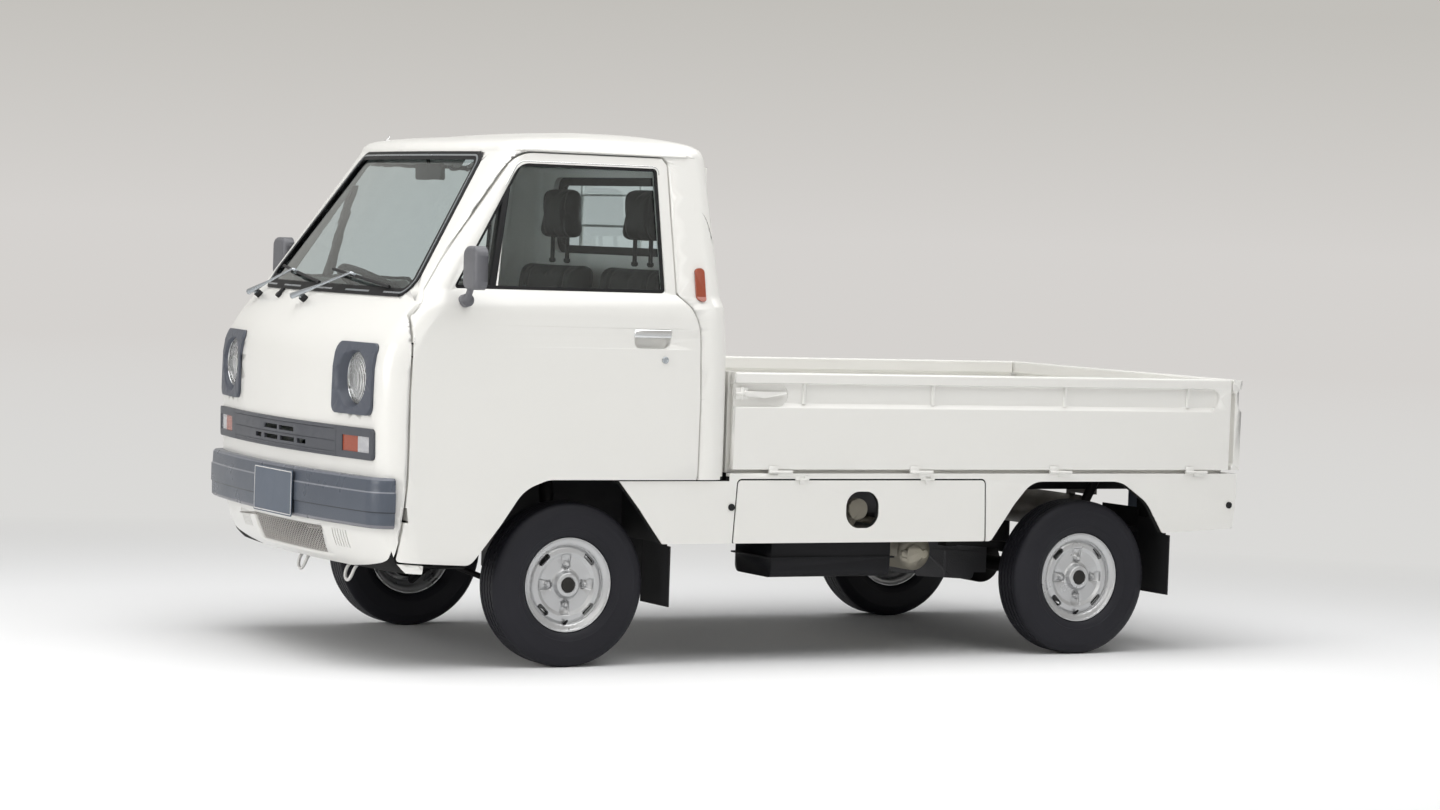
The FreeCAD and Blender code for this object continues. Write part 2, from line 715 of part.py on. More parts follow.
def make_grille():
    """The slatted panel under the lamps, with an indicator housing at each end."""
    points = (
        (-GRILLE_HALF_Y, GRILLE_LOW_Z, 14.0),
        (GRILLE_HALF_Y, GRILLE_LOW_Z, 14.0),
        (GRILLE_HALF_Y, GRILLE_TOP_Z, 14.0),
        (-GRILLE_HALF_Y, GRILLE_TOP_Z, 14.0),
    )
    panel = outline_prism(points, lift_yz, 0.0, 1300.0, 1700.0)
    panel = panel.common(cab_solid(-9.0)).cut(cab_solid(-SEAT))
    cuts = []
    for z, (low, high) in GRILLE_SLOTS:
        cuts.append(box(1480.0, 1640.0, low, high, z - GRILLE_SLOT_HALF, z + GRILLE_SLOT_HALF))
    middle = box(1500.0, 1640.0, -GRILLE_SEAM_Y + 8.0, GRILLE_SEAM_Y - 8.0, GRILLE_LOW_Z, GRILLE_TOP_Z)
    for z in GRILLE_GROOVE_ZS:
        axis_foot = Vector(LOWER_LEVELS[5][1] - FRONT_CROWN_R, 0.0, z - 1.0)
        core = Part.makeCylinder(FRONT_CROWN_R + 5.5, 2.0, axis_foot)
        cuts.append(middle.common(box(1500.0, 1640.0, -500.0, 500.0, z - 1.0, z + 1.0)).cut(core))
    ambers = []
    clears = []
    for side in (1.0, -1.0):
        seam = side * GRILLE_SEAM_Y
        cuts.append(box(1300.0, 1700.0, seam - 0.8, seam + 0.8, 600.0, 740.0))
        for start, end, found in ((LENS_IN_Y, LENS_SPLIT_Y, ambers), (LENS_SPLIT_Y, LENS_OUT_Y, clears)):
            low, high = sorted((side * start, side * end))
            window = box(1300.0, 1700.0, low, high, 649.0, 697.0)
            cuts.append(window)
            found.append(window.common(cab_solid(-5.5)).cut(cab_solid(-SEAT)))
    return panel.cut(cuts), ambers, clears


def bumper_ring(inset, low, high):
    """The bumper's outline between two heights, shrunk by an inset."""
    sections = []
    for z in (low, high):
        sections.append(cab_section((z, BUMPER_X, BUMPER_HALF_Y, BUMPER_CORNER_R, 350.0), inset))
    return Part.makeLoft(sections, True, True)


def make_bumper():
    """A wrap-round bumper in three bands, on two brackets."""
    sections = []
    for rise, inset in BUMPER_BANDS:
        level = (BUMPER_LOW_Z + rise, BUMPER_X, BUMPER_HALF_Y, BUMPER_CORNER_R, 350.0)
        sections.append(cab_section(level, inset))
    shell = Part.makeLoft(sections, True, True)
    shell = shell.cut(bumper_ring(BUMPER_WALL, BUMPER_LOW_Z - 1.0, BUMPER_TOP_Z - 9.0))
    shell = shell.cut(bumper_ring(BUMPER_WALL + 14.0, BUMPER_LOW_Z, BUMPER_TOP_Z + 1.0))
    shell = shell.cut(box(300.0, BUMPER_END_X, -800.0, 800.0, 400.0, 600.0))
    brackets = []
    for y in (-430.0, 430.0):
        bracket = box(1480.0, 1585.0, y - 40.0, y + 40.0, 480.0, 530.0)
        brackets.append(bracket.common(bumper_ring(5.0, 470.0, 540.0)))
    return joined([shell] + brackets).cut(cab_solid(-SEAT))


def make_plates():
    """Blank registration plates, one on the bumper and one under the tailgate."""
    points = ((-110.0, 427.0, 6.0), (203.0, 427.0, 6.0), (203.0, 569.0, 6.0), (-110.0, 569.0, 6.0))
    front = prism(points, lift_yz, BUMPER_X + SEAT, BUMPER_X + 2.8)
    sill_x = SKIRT_BACK_X - 2.0 - SEAT
    points = ((60.0, 400.0, 6.0), (390.0, 400.0, 6.0), (390.0, 565.0, 6.0), (60.0, 565.0, 6.0))
    rear = prism(points, lift_yz, sill_x - 2.5, sill_x)
    return Part.makeCompound([front, rear])


def screen_point(y, z, proud):
    """A point on the windscreen's glass, stood off its face."""
    lean = math.atan2(BELT_LEVEL[1] - HEADER_LEVEL[1], HEADER_LEVEL[0] - BELT_LEVEL[0])
    return Vector(nose_x(y, z) + proud * math.cos(lean), y, z + proud * math.sin(lean))


def make_wipers():
    """The wipers' black caps, blades and washer nozzle, and their two bright arms."""
    skin = cab_solid(-SEAT)
    rubber = []
    steel = []
    for pivot_y, elbow_y, tip_y in ((-545.0, -262.0, -20.0), (-62.0, 222.0, 462.0)):
        foot = Vector(nose_x(pivot_y, 1086.0), pivot_y, 1086.0)
        out = Vector(0.8, 0.0, 0.6)
        cap = cylinder(foot - out * 12.0, foot + out * 17.0, 12.0)
        elbow = screen_point(elbow_y, 1160.0, 34.0)
        clip = screen_point(elbow_y, 1160.0, 15.0)
        tip = screen_point(tip_y, 1136.0, 12.0)
        heel = screen_point(2.0 * elbow_y - tip_y + 40.0, 1178.0, 12.0)
        start = foot + out * 31.0
        back = start + (start - elbow).normalize() * 34.0
        paddle = cone(back, back + (elbow - back) * 0.42, 10.0, 4.5)
        reach = rod([back + (elbow - back) * 0.38, elbow, clip], 4.2, 8.0)
        boss = cylinder(foot + out * 17.0, start, 8.0)
        arm = joined([paddle, reach, boss])
        blade = rod([heel, clip, tip], 5.0, 300.0)
        steel.append(arm)
        rubber.append(cap.cut(skin))
        rubber.append(blade.cut(arm))
    nozzle_y = -318.0
    foot = Vector(nose_x(nozzle_y, 1090.0), nozzle_y, 1090.0)
    nozzle = joined([
        cylinder(foot - Vector(8.0, 0.0, 6.0), foot + Vector(10.0, 0.0, 8.0), 9.0),
        cylinder(foot + Vector(4.0, 0.0, 6.0), foot + Vector(-12.0, 0.0, 26.0), 6.0),
    ])
    return Part.makeCompound(rubber + [nozzle.cut(skin)]), Part.makeCompound(steel)


def make_mirror():
    """The left door's mirror on its short arm."""
    base = cylinder(Vector(1262.0, 675.0, 1108.0), Vector(1262.0, 712.0, 1114.0), 20.0)
    arm = cylinder(Vector(1262.0, 705.0, 1112.0), Vector(1262.0, 742.0, 1170.0), 10.0)
    points = (
        (712.0, 1145.0, 26.0), (812.0, 1145.0, 26.0), (812.0, 1275.0, 30.0), (712.0, 1275.0, 30.0)
    )
    head = outline_prism(points, lift_yz, 0.0, 1246.0, 1286.0)
    head = head.makeFillet(15.0, [e for e in head.Edges if e.BoundBox.XMin > 1285.0])
    return joined([base, arm, head]).cut(cab_solid(-SEAT))


def make_dashboard():
    """Dashboard, instrument cowl and steering column in front of the driver."""
    points = (
        (1560.0, 968.0), (1440.0, 968.0), (1440.0, 900.0), (1290.0, 900.0, 30.0),
        (1262.0, 985.0, 40.0), (1300.0, 1060.0, 30.0),
        (1420.0, 1092.0), (1560.0, 1092.0),
    )
    board = prism(points, lift_xz, -700.0, 700.0)
    board = board.common(cab_solid(WALL))
    z = HINGE_ZS[1]
    hinge_room = box(DOOR_HINGE_X - 12.0, DOOR_HINGE_X + 50.0, 615.0, 700.0, z - 26.0, z + 26.0)
    board = board.cut([door_room(), mirrored(door_room()), hinge_room, mirrored(hinge_room)])
    cowl_points = ((1330.0, 1040.0), (1235.0, 1040.0, 20.0), (1225.0, 1098.0, 20.0), (1330.0, 1112.0))
    cowl = prism(cowl_points, lift_xz, WHEEL_CENTRE.y - 150.0, WHEEL_CENTRE.y + 150.0)
    cowl = cowl.common(cab_solid(WALL + 2.0))
    axis = column_axis()
    top = WHEEL_CENTRE - axis * 34.0
    foot_length = (top.z - FOOTWELL_Z) / axis.z
    foot = top - axis * foot_length
    tube = cylinder(foot, top, 22.0).common(box(1000.0, 1600.0, -700.0, 0.0, FOOTWELL_Z, 1300.0))
    bore = cylinder(top - axis * 42.0, top + axis * 5.0, STUB_R + PIN_FIT)
    return joined([board, cowl, tube]).cut(bore)


def column_axis():
    tilt = math.radians(COLUMN_TILT)
    return Vector(-math.sin(tilt), 0.0, math.cos(tilt))


def make_steering_wheel():
    """A two-spoke rim and hub on a splined stub in the column."""
    axis = column_axis()
    rim = Part.makeTorus(STEERING_R, 11.0)
    hub = Part.makeCylinder(42.0, 30.0, Vector(0.0, 0.0, -32.0))
    hub = hub.makeFillet(8.0, [hub.Edges[0]])
    spokes = []
    for turn in (-60.0, 60.0, 180.0):
        a = math.radians(turn)
        tip = Vector(STEERING_R * math.cos(a), STEERING_R * math.sin(a), 0.0)
        root = Vector(30.0 * math.cos(a), 30.0 * math.sin(a), -16.0)
        spokes.append(cylinder(root, tip, 8.0))
    stub = Part.makeCylinder(STUB_R, 40.0, Vector(0.0, 0.0, -70.0))
    wheel = joined([rim, hub, stub] + spokes)
    wheel.rotate(Vector(0, 0, 0), Vector(0, 1, 0), -COLUMN_TILT)
    return wheel.translated(WHEEL_CENTRE)


def make_seats():
    """Cushions and backs of the two seats."""
    pieces = []
    for y in (-SEAT_Y, SEAT_Y):
        cushion_points = (
            (478.0, DECK_Z + SEAT, 0.0), (960.0, DECK_Z + SEAT, 0.0),
            (968.0, 742.0, 40.0), (478.0, 722.0, 20.0),
        )
        back_points = (
            (480.0, 722.4, 30.0), (585.0, 726.9, 40.0), (520.0, 1232.0, 40.0), (440.0, 1232.0, 30.0),
        )
        pieces.append(prism(cushion_points, lift_xz, y - 240.0, y + 240.0))
        pieces.append(prism(back_points, lift_xz, y - 235.0, y + 235.0))
    return Part.makeCompound(pieces)


def make_headrests():
    pieces = []
    for y in (-SEAT_Y, SEAT_Y):
        points = (
            (y - 128.0, 1300.0, 50.0), (y + 128.0, 1300.0, 50.0),
            (y + 105.0, 1470.0, 50.0), (y - 105.0, 1470.0, 50.0),
        )
        pad = outline_prism(points, lift_yz, 0.0, 436.0, 506.0)
        posts = []
        for side in (-55.0, 55.0):
            posts.append(cylinder(
                Vector(474.0, y + side, 1232.0 + SEAT), Vector(474.0, y + side, 1330.0), 7.0
            ))
        pieces.append(joined([pad] + posts))
    return Part.makeCompound(pieces)


# Wheels

def make_tyre():
    """A ribbed tyre about the Y axis, centred on the origin."""
    half = TYRE_WIDTH / 2.0
    bead_r = 127.0
    outline = (
        (39.6, bead_r, 0.0), (42.1, 144.9, 0.0), (half - 12.0, 147.0, 8.0), (half, 196.0, 60.0),
        (half - 6.0, 240.0, 16.0),
        (half - 20.0, TYRE_R, 8.0), (31.0, TYRE_R, 0.0), (30.0, TYRE_R - 6.0, 0.0),
        (24.0, TYRE_R - 6.0, 0.0), (23.0, TYRE_R, 0.0), (4.0, TYRE_R, 0.0), (3.0, TYRE_R - 6.0, 0.0),
    )
    right = tuple((-y, r, c) for y, r, c in reversed(outline))
    wire = rounded_wire(outline + right, lift_yz)
    return Part.Face(wire).revolve(Vector(0, 0, 0), Vector(0, 1, 0), 360.0)


def make_rim():
    """A pressed steel wheel: flanges, drop well, dished disc, hand holes, nuts and cap."""
    flange_r = 144.5
    seat_r = 126.6
    well_r = 108.0
    wall = 3.5
    barrel = (
        (50.0, flange_r), (50.0, flange_r - 4.0), (46.0, flange_r - 4.0), (43.0, seat_r - wall),
        (22.0, seat_r - wall - 2.0), (16.0, well_r - wall), (-14.0, well_r - wall),
        (-22.0, seat_r - wall - 2.0), (-43.0, seat_r - wall), (-46.0, flange_r - 4.0),
        (-50.0, flange_r - 4.0), (-50.0, flange_r), (-42.5, flange_r), (-40.0, seat_r),
        (-22.0, seat_r - 1.0), (-14.0, well_r), (16.0, well_r), (22.0, seat_r - 1.0),
        (40.0, seat_r), (42.5, flange_r),
    )
    disc = (
        (22.5, 121.6), (30.0, 122.4), (37.0, 112.0, 4.0), (38.0, 97.0, 6.0), (33.0, 86.0, 3.0),
        (33.0, 49.0, 2.0), (36.0, 43.5, 1.5), (52.0, 36.0, 5.0), (53.0, 25.0, 1.0), (50.0, 23.0),
        (50.0, 0.0), (16.0, 0.0), (16.0, 74.0), (22.0, 84.0), (25.0, 96.0), (25.0, 110.0),
    )
    shapes = []
    for outline in (barrel, disc):
        face = Part.Face(rounded_wire(outline, lift_yz))
        shapes.append(face.revolve(Vector(0, 0, 0), Vector(0, 1, 0), 360.0))
    drum = cylinder(Vector(0, -40.0, 0), Vector(0, 17.0, 0), 92.0)
    shapes.append(drum)
    pocket = joined([
        cylinder(Vector(62.0, 26.0, 0.0), Vector(62.0, 60.0, 0.0), 15.0),
        box(62.0, 92.0, 26.0, 60.0, -15.0, 15.0),
    ])
    corners = [math.radians(60.0 * k) for k in range(6)]
    nut = prism([(62.0 + 10.5 * math.cos(a), 10.5 * math.sin(a)) for a in corners], lift_xz, 22.0, 37.0)
    stud = cylinder(Vector(62.0, 36.0, 0.0), Vector(62.0, 43.0, 0.0), 5.5)
    hole_points = ((99.0, -24.0, 8.0), (116.0, -21.0, 8.0), (116.0, 21.0, 8.0), (99.0, 24.0, 8.0))
    hole = prism(hole_points, lift_xz, 18.0, 60.0)
    wheel = joined(shapes)
    wheel = wheel.cut([turned(pocket, 90.0 * k) for k in range(4)])
    wheel = joined([wheel] + [turned(piece, 90.0 * k) for k in range(4) for piece in (nut, stud)])
    holes = [turned(hole, 45.0 + 90.0 * k) for k in range(4)]
    bore = cylinder(Vector(0, -41.0, 0), Vector(0, 10.0, 0), AXLE_R + AXLE_FIT)
    return wheel.cut(holes + [bore])


def turned(shape, degrees):
    """A copy turned about the wheel's own axis."""
    copy = shape.copy()
    copy.rotate(Vector(0, 0, 0), Vector(0, 1, 0), degrees)
    return copy


def at_wheel(shape, axle_x, side):
    placed = shape.copy()
    if side < 0:
        placed = mirrored(placed)
    return placed.translated(Vector(axle_x, side * HALF_TRACK, AXLE_Z))


def steer_axis():
    return (Vector(0.0, STRUT_TOP_Y - BALL_Y, STRUT_TOP_Z - BALL_Z)).normalize()


def make_knuckle():
    """The left stub axle with its backing plate and the strut tube that turns with it."""
    axis = steer_axis()
    ball = Vector(FRONT_AXLE_X, BALL_Y, BALL_Z)
    foot = cylinder(ball + axis * 14.0, ball + axis * 80.0, 15.0)
    tube = cylinder(ball + axis * 60.0, ball + axis * 400.0, 22.0)
    rim_back = HALF_TRACK - 42.0
    hub = cylinder(
        Vector(FRONT_AXLE_X, 505.0, AXLE_Z), Vector(FRONT_AXLE_X, rim_back, AXLE_Z), 26.0
    )
    plate = cylinder(
        Vector(FRONT_AXLE_X, rim_back - 5.0, AXLE_Z), Vector(FRONT_AXLE_X, rim_back, AXLE_Z), 90.0
    )
    stub = cylinder(
        Vector(FRONT_AXLE_X, rim_back, AXLE_Z), Vector(FRONT_AXLE_X, HALF_TRACK + 5.0, AXLE_Z), AXLE_R
    )
    arm = cylinder(
        Vector(FRONT_AXLE_X, 512.0, AXLE_Z - 30.0), Vector(FRONT_AXLE_X - 110.0, 500.0, AXLE_Z - 40.0), 9.0
    )
    return joined([foot, tube, hub, plate, stub, arm])


def make_front_suspension():
    """Lower arms, radius rods, springs and strut mounts, which don't turn."""
    axis = steer_axis()
    ball = Vector(FRONT_AXLE_X, BALL_Y, BALL_Z)
    pin = cylinder(ball - axis * 16.0, ball + axis * 13.7, 11.0)
    arm = rod(
        [
            Vector(FRONT_AXLE_X, 352.0, 225.0), Vector(FRONT_AXLE_X, 430.0, 200.0),
            ball - axis * 13.0,
        ],
        12.0, 60.0,
    )
    radius_rod = cylinder(
        Vector(FRONT_AXLE_X, 475.0, 182.0), Vector(1150.0, 345.0, 300.0), 9.0
    )
    eye = box(1136.0, 1168.0, 334.0, 354.0, 288.0, 318.0 - SEAT)
    mount = cylinder(ball + axis * 400.3, ball + axis * 428.0, 48.0)
    mount = mount.common(box(700.0, 1000.0, 300.0, 600.0, 400.0, DECK_Z - 20.0))
    return joined([pin, arm, radius_rod, eye]), mount


def make_rails():
    """The two main rails, which drop under the footwell."""
    points = (
        (1418.0, 318.0), (1418.0, 371.7), (1150.0, 371.7, 30.0), (1100.0, 470.0, 60.0),
        (1040.0, 580.0, 60.0), (975.0, 599.7), (346.0, 599.7), (346.0, 595.7), (-1531.0, 595.7),
        (-1531.0, 520.0), (950.0, 520.0, 80.0), (1040.0, 440.0, 80.0), (1110.0, 318.0, 30.0),
    )
    rail = prism(points, lift_xz, RAIL_Y - RAIL_HALF, RAIL_Y + RAIL_HALF)
    return both_sides(rail)


def make_cross_members():
    """The tubes between the rails, the arms' brackets, two tow hooks and the rear wells' walls."""
    inner = RAIL_Y - RAIL_HALF
    pieces = []
    for x in (1384.0, 400.0, -560.0, -1512.0):
        low = 322.0 if x > 1000.0 else 530.0
        pieces.append(box(x - 18.0, x + 18.0, -inner, inner, low, low + 44.0))
    for y, top in ((-57.0, 322.0 - SEAT), (321.0, 318.0 - SEAT)):
        path = [
            Vector(1390.0, y, top), Vector(1396.0, y, 262.0), Vector(1450.0, y, 243.0),
            Vector(1482.0, y, 262.0), Vector(1474.0, y, 290.0),
        ]
        pieces.append(rod(path, 4.5, 11.0))
    hanger = box(FRONT_AXLE_X - 30.0, FRONT_AXLE_X + 30.0, 312.0, 348.0, 210.0, 520.0)
    low = BED_FLOOR_Z - BED_FLOOR_WALL
    inner_y = SKIRT_OUTER_Y - SKIRT_WALL - SEAT
    wall = box(REAR_WELL_X - 6.0, REAR_WELL_X, 500.0, inner_y, 399.0, low - 6.0 - SEAT)
    return Part.makeCompound(pieces + [hanger, mirrored(hanger), wall, mirrored(wall)])


def make_rear_axle():
    """The rear axle tube, its hubs, leaf springs, shackles and dampers."""
    tube = cylinder(Vector(REAR_AXLE_X, -540.0, AXLE_Z), Vector(REAR_AXLE_X, 540.0, AXLE_Z), 26.0)
    casing = cylinder(Vector(REAR_AXLE_X, -48.0, AXLE_Z), Vector(REAR_AXLE_X, 48.0, AXLE_Z), 74.0)
    nose = cone(
        Vector(REAR_AXLE_X + 40.0, 0.0, AXLE_Z), Vector(-900.0 - SEAT, 0.0, AXLE_Z), 44.0, 26.0
    )
    rim_back = HALF_TRACK - 42.0
    parts = [tube, casing, nose]
    for side in (1, -1):
        parts.append(cylinder(
            Vector(REAR_AXLE_X, side * 500.0, AXLE_Z), Vector(REAR_AXLE_X, side * rim_back, AXLE_Z), 34.0
        ))
        parts.append(cylinder(
            Vector(REAR_AXLE_X, side * rim_back, AXLE_Z),
            Vector(REAR_AXLE_X, side * (HALF_TRACK + 5.0), AXLE_Z), AXLE_R,
        ))
        parts.append(cylinder(
            Vector(REAR_AXLE_X, side * (rim_back - 5.0), AXLE_Z),
            Vector(REAR_AXLE_X, side * rim_back, AXLE_Z), 90.0,
        ))
        y0, y1 = sorted((side * 448.0, side * 498.0))
        leaf_points = (
            (-590.0, 350.0), (-990.0, 322.0, 900.0), (-1390.0, 402.0), (-1386.0, 422.0),
            (-990.0, 344.0, 900.0), (-590.0, 372.0),
        )
        parts.append(prism(leaf_points, lift_xz, y0, y1))
        parts.append(box(REAR_AXLE_X - 40.0, REAR_AXLE_X + 40.0, y0 - 4.0, y1 + 4.0, 240.0, 348.0))
        parts.append(box(-612.0, -572.0, y0, y1, 345.0, 600.0 - 4.3))
        parts.append(box(-1392.0, -1352.0, y0, y1, 405.0, 600.0 - 4.3))
        parts.append(cylinder(
            Vector(REAR_AXLE_X - 30.0, side * 470.0, 300.0), Vector(-1180.0, side * 470.0, 588.0), 16.0
        ))
    return joined(parts)


def make_engine():
    """The engine under the bed, as one plain block, on two cross tubes."""
    block = box(-900.0, -585.0, -230.0, 230.0, 230.0, 480.0)
    feet = [box(-760.0, -720.0, y - 76.0, y + 76.0, 440.0, 500.0) for y in (-270.0, 270.0)]
    ears = [box(-760.0, -720.0, y - 24.0, y + 24.0, 440.0, 519.7) for y in (-330.0, 330.0)]
    tray_points = ((-600.0, 318.0), (-622.0, 222.0, 14.0), (-842.0, 208.0, 14.0), (-872.0, 300.0))
    sides = prism(tray_points, lift_xz, 230.0 + SEAT, 236.0)
    crease_points = ((-760.0, 218.0), (-748.0, 218.0), (-640.0, 312.0), (-652.0, 312.0))
    crease = prism(crease_points, lift_xz, 235.0, 239.0)
    rib = box(-736.0, -728.0, 235.0, 240.0, 218.0, 305.0)
    tray = joined([sides, crease, rib])
    return Part.makeCompound([joined([block] + feet + ears), tray, mirrored(tray)])


def make_transaxle():
    """The pale gear casing ahead of the engine, with an oval flange to the side."""
    case = cylinder(Vector(-508.0, 150.0, 320.0), Vector(-508.0, 400.0, 320.0), 62.0)
    body = box(-584.7, -440.0, -120.0, 180.0, 262.0, 400.0)
    flange = cylinder(Vector(-508.0, 400.0, 312.0), Vector(-508.0, 412.0, 312.0), 30.0)
    ears = [
        cylinder(Vector(-508.0 + dx, 400.0, 312.0), Vector(-508.0 + dx, 412.0, 312.0), 13.0)
        for dx in (-38.0, 38.0)
    ]
    return joined([case, body, flange] + ears)


def make_fuel_tank():
    """A flanged steel tank, its filler neck and cap."""
    tank = box(-285.0, 147.0, 382.0, 622.0, 262.0, 420.0)
    tank = tank.makeFillet(26.0, [e for e in tank.Edges if abs(e.BoundBox.XLength) > 400.0])
    seam = box(-297.0, 159.0, 374.0, 630.0, 322.0, 327.0)
    straps = [box(x - 15.0, x + 15.0, 360.0, 400.0, 300.0, 519.7) for x in (-220.0, 80.0)]
    feet = [box(x - 15.0, x + 15.0, 330.0, 400.0, 500.0, 519.7) for x in (-220.0, 80.0)]
    neck = cylinder(Vector(FILLER_X, 560.0, 400.0), Vector(FILLER_X, 642.0, FILLER_Z), 24.0)
    cap = cylinder(Vector(FILLER_X, 640.0, FILLER_Z), Vector(FILLER_X, 664.0, FILLER_Z), 34.0)
    return joined([tank, seam, neck, cap] + straps + feet)


def make_exhaust():
    """The silencer across the back and its tail pipe."""
    drum = cylinder(Vector(-1250.0, -240.0, 430.0), Vector(-1250.0, 240.0, 430.0), 62.0)
    pipe = rod(
        [Vector(-1250.0, -230.0, 400.0), Vector(-1250.0, -400.0, 400.0), Vector(-1575.0, -400.0, 400.0)],
        17.0, 50.0,
    )
    hangers = [box(-1262.0, -1238.0, y - 10.0, y + 10.0, 480.0, 519.7) for y in (-200.0, 200.0)]
    arm = box(-1262.0, -1238.0, 200.0, RAIL_Y + 10.0, 500.0, 519.7)
    return joined([drum, pipe, arm, mirrored(arm)] + hangers)


def make_mud_flaps():
    """Rubber flaps behind each wheel and the stoppers that the dropped sides rest on."""
    pieces = []
    inner_y = SKIRT_OUTER_Y - SKIRT_WALL
    for x, low, edge in ((540.0, 183.0, SILL_BOTTOM_Z), (REAR_WELL_X, 193.0, 399.0)):
        points = (
            (500.0, low), (686.0, low), (686.0, edge - 8.0), (inner_y - 3.0, edge - 8.0),
            (inner_y - 3.0, edge + 40.0), (500.0, edge + 40.0),
        )
        pieces.append(prism(points, lift_yz, x, x + 5.0 - SEAT))
    face = SKIRT_OUTER_Y + SEAT
    for x in (SKIRT_STOP_X, SKIRT_BACK_X + 28.0):
        pieces.append(cylinder(Vector(x, face, 491.0), Vector(x, face + 3.7, 491.0), STOP_R))
    return Part.makeCompound(pieces + [mirrored(p) for p in pieces])


# Load bed

def gate_section(start, end):
    """One drop side's profile: top rail, outer channel and flat lower panel."""
    outer = GATE_OUTER_Y
    channel = outer - GATE_CHANNEL_DEPTH
    inner = outer - GATE_RAIL_WALL
    panel = outer - GATE_PANEL_WALL
    points = (
        (outer - 1.0, GATE_LOW_Z, 2.0),
        (outer, GATE_CHANNEL_LOW_Z - 14.0, 6.0),
        (channel, GATE_CHANNEL_LOW_Z, 4.0),
        (channel, GATE_RAIL_LOW_Z - 2.0, 3.0),
        (outer, GATE_RAIL_LOW_Z, 2.0),
        (outer, GATE_TOP_Z, 7.0),
        (inner, GATE_TOP_Z, 7.0),
        (inner, GATE_RAIL_LOW_Z - 8.0, 3.0),
        (panel, GATE_RAIL_LOW_Z - 16.0, 4.0),
        (panel, GATE_LOW_Z + 22.0, 4.0),
        (inner + 4.0, GATE_LOW_Z + 12.0, 3.0),
        (inner + 4.0, GATE_LOW_Z, 2.0),
    )
    return prism(points, lift_yz, start, end)


def channel_rib(x):
    """A short upright rib standing in the gate's outer channel."""
    deep = GATE_OUTER_Y - GATE_CHANNEL_DEPTH - 2.0
    proud = GATE_OUTER_Y - 3.0
    points = ((x - 7.0, deep), (x - 5.0, proud, 2.0), (x + 5.0, proud, 2.0), (x + 7.0, deep))
    return prism(points, lift_xy, GATE_CHANNEL_LOW_Z - 2.0, GATE_RAIL_LOW_Z)


def gate_knuckle(x):
    """The gate's half of a bottom hinge, bored for the pin."""
    start = Vector(x + 8.0, GATE_HINGE_Y, GATE_HINGE_Z)
    end = Vector(x + 40.0, GATE_HINGE_Y, GATE_HINGE_Z)
    leaf = box(start.x, end.x, GATE_HINGE_Y - 5.0, GATE_HINGE_Y + 1.0, GATE_HINGE_Z, GATE_LOW_Z + 12.0)
    knuckle = joined([cylinder(start, end, HINGE_R), leaf])
    return knuckle.cut(cylinder(start, end, PIN_R + PIN_FIT))


def skirt_knuckle(x, reach):
    """The bed's half of the same hinge, carrying the pin."""
    start = Vector(x - 44.0, GATE_HINGE_Y, GATE_HINGE_Z)
    end = Vector(x + 7.0, GATE_HINGE_Y, GATE_HINGE_Z)
    leaf = box(start.x, end.x, GATE_HINGE_Y - reach, GATE_HINGE_Y, SKIRT_TOP_Z - 9.0, GATE_HINGE_Z)
    pin = cylinder(start, Vector(x + 40.0, GATE_HINGE_Y, GATE_HINGE_Z), PIN_R)
    return joined([cylinder(start, end, HINGE_R), leaf, pin])


def gate_latch():
    """The lever latch lying in the front end of the gate's channel."""
    z = 0.5 * (GATE_CHANNEL_LOW_Z + GATE_RAIL_LOW_Z) - 2.0
    deep = GATE_OUTER_Y - GATE_CHANNEL_DEPTH - 5.0
    front = BED_FRONT_X - 12.0
    plate = box(front - 44.0, front, deep, GATE_OUTER_Y - 7.0, z - 18.0, z + 18.0)
    face = GATE_OUTER_Y - 9.0
    barrel = cylinder(Vector(front - 22.0, face, z - 20.0), Vector(front - 22.0, face, z + 20.0), 6.0)
    bolt = cylinder(Vector(front - 40.0, face + 2.0, z), Vector(front + 2.0, face + 2.0, z), 5.0)
    lever = prism(
        (
            (front - 178.0, z - 3.0, 4.0), (front - 96.0, z - 15.0, 30.0), (front - 30.0, z - 9.0, 4.0),
            (front - 30.0, z + 8.0, 4.0), (front - 178.0, z + 5.0, 4.0),
        ),
        lift_xz, GATE_OUTER_Y - 11.0, GATE_OUTER_Y - 3.0,
    )
    foot = box(front - 60.0, front - 36.0, deep, GATE_OUTER_Y - 9.0, z - 7.0, z + 6.0)
    return [plate, barrel, bolt, lever, foot]


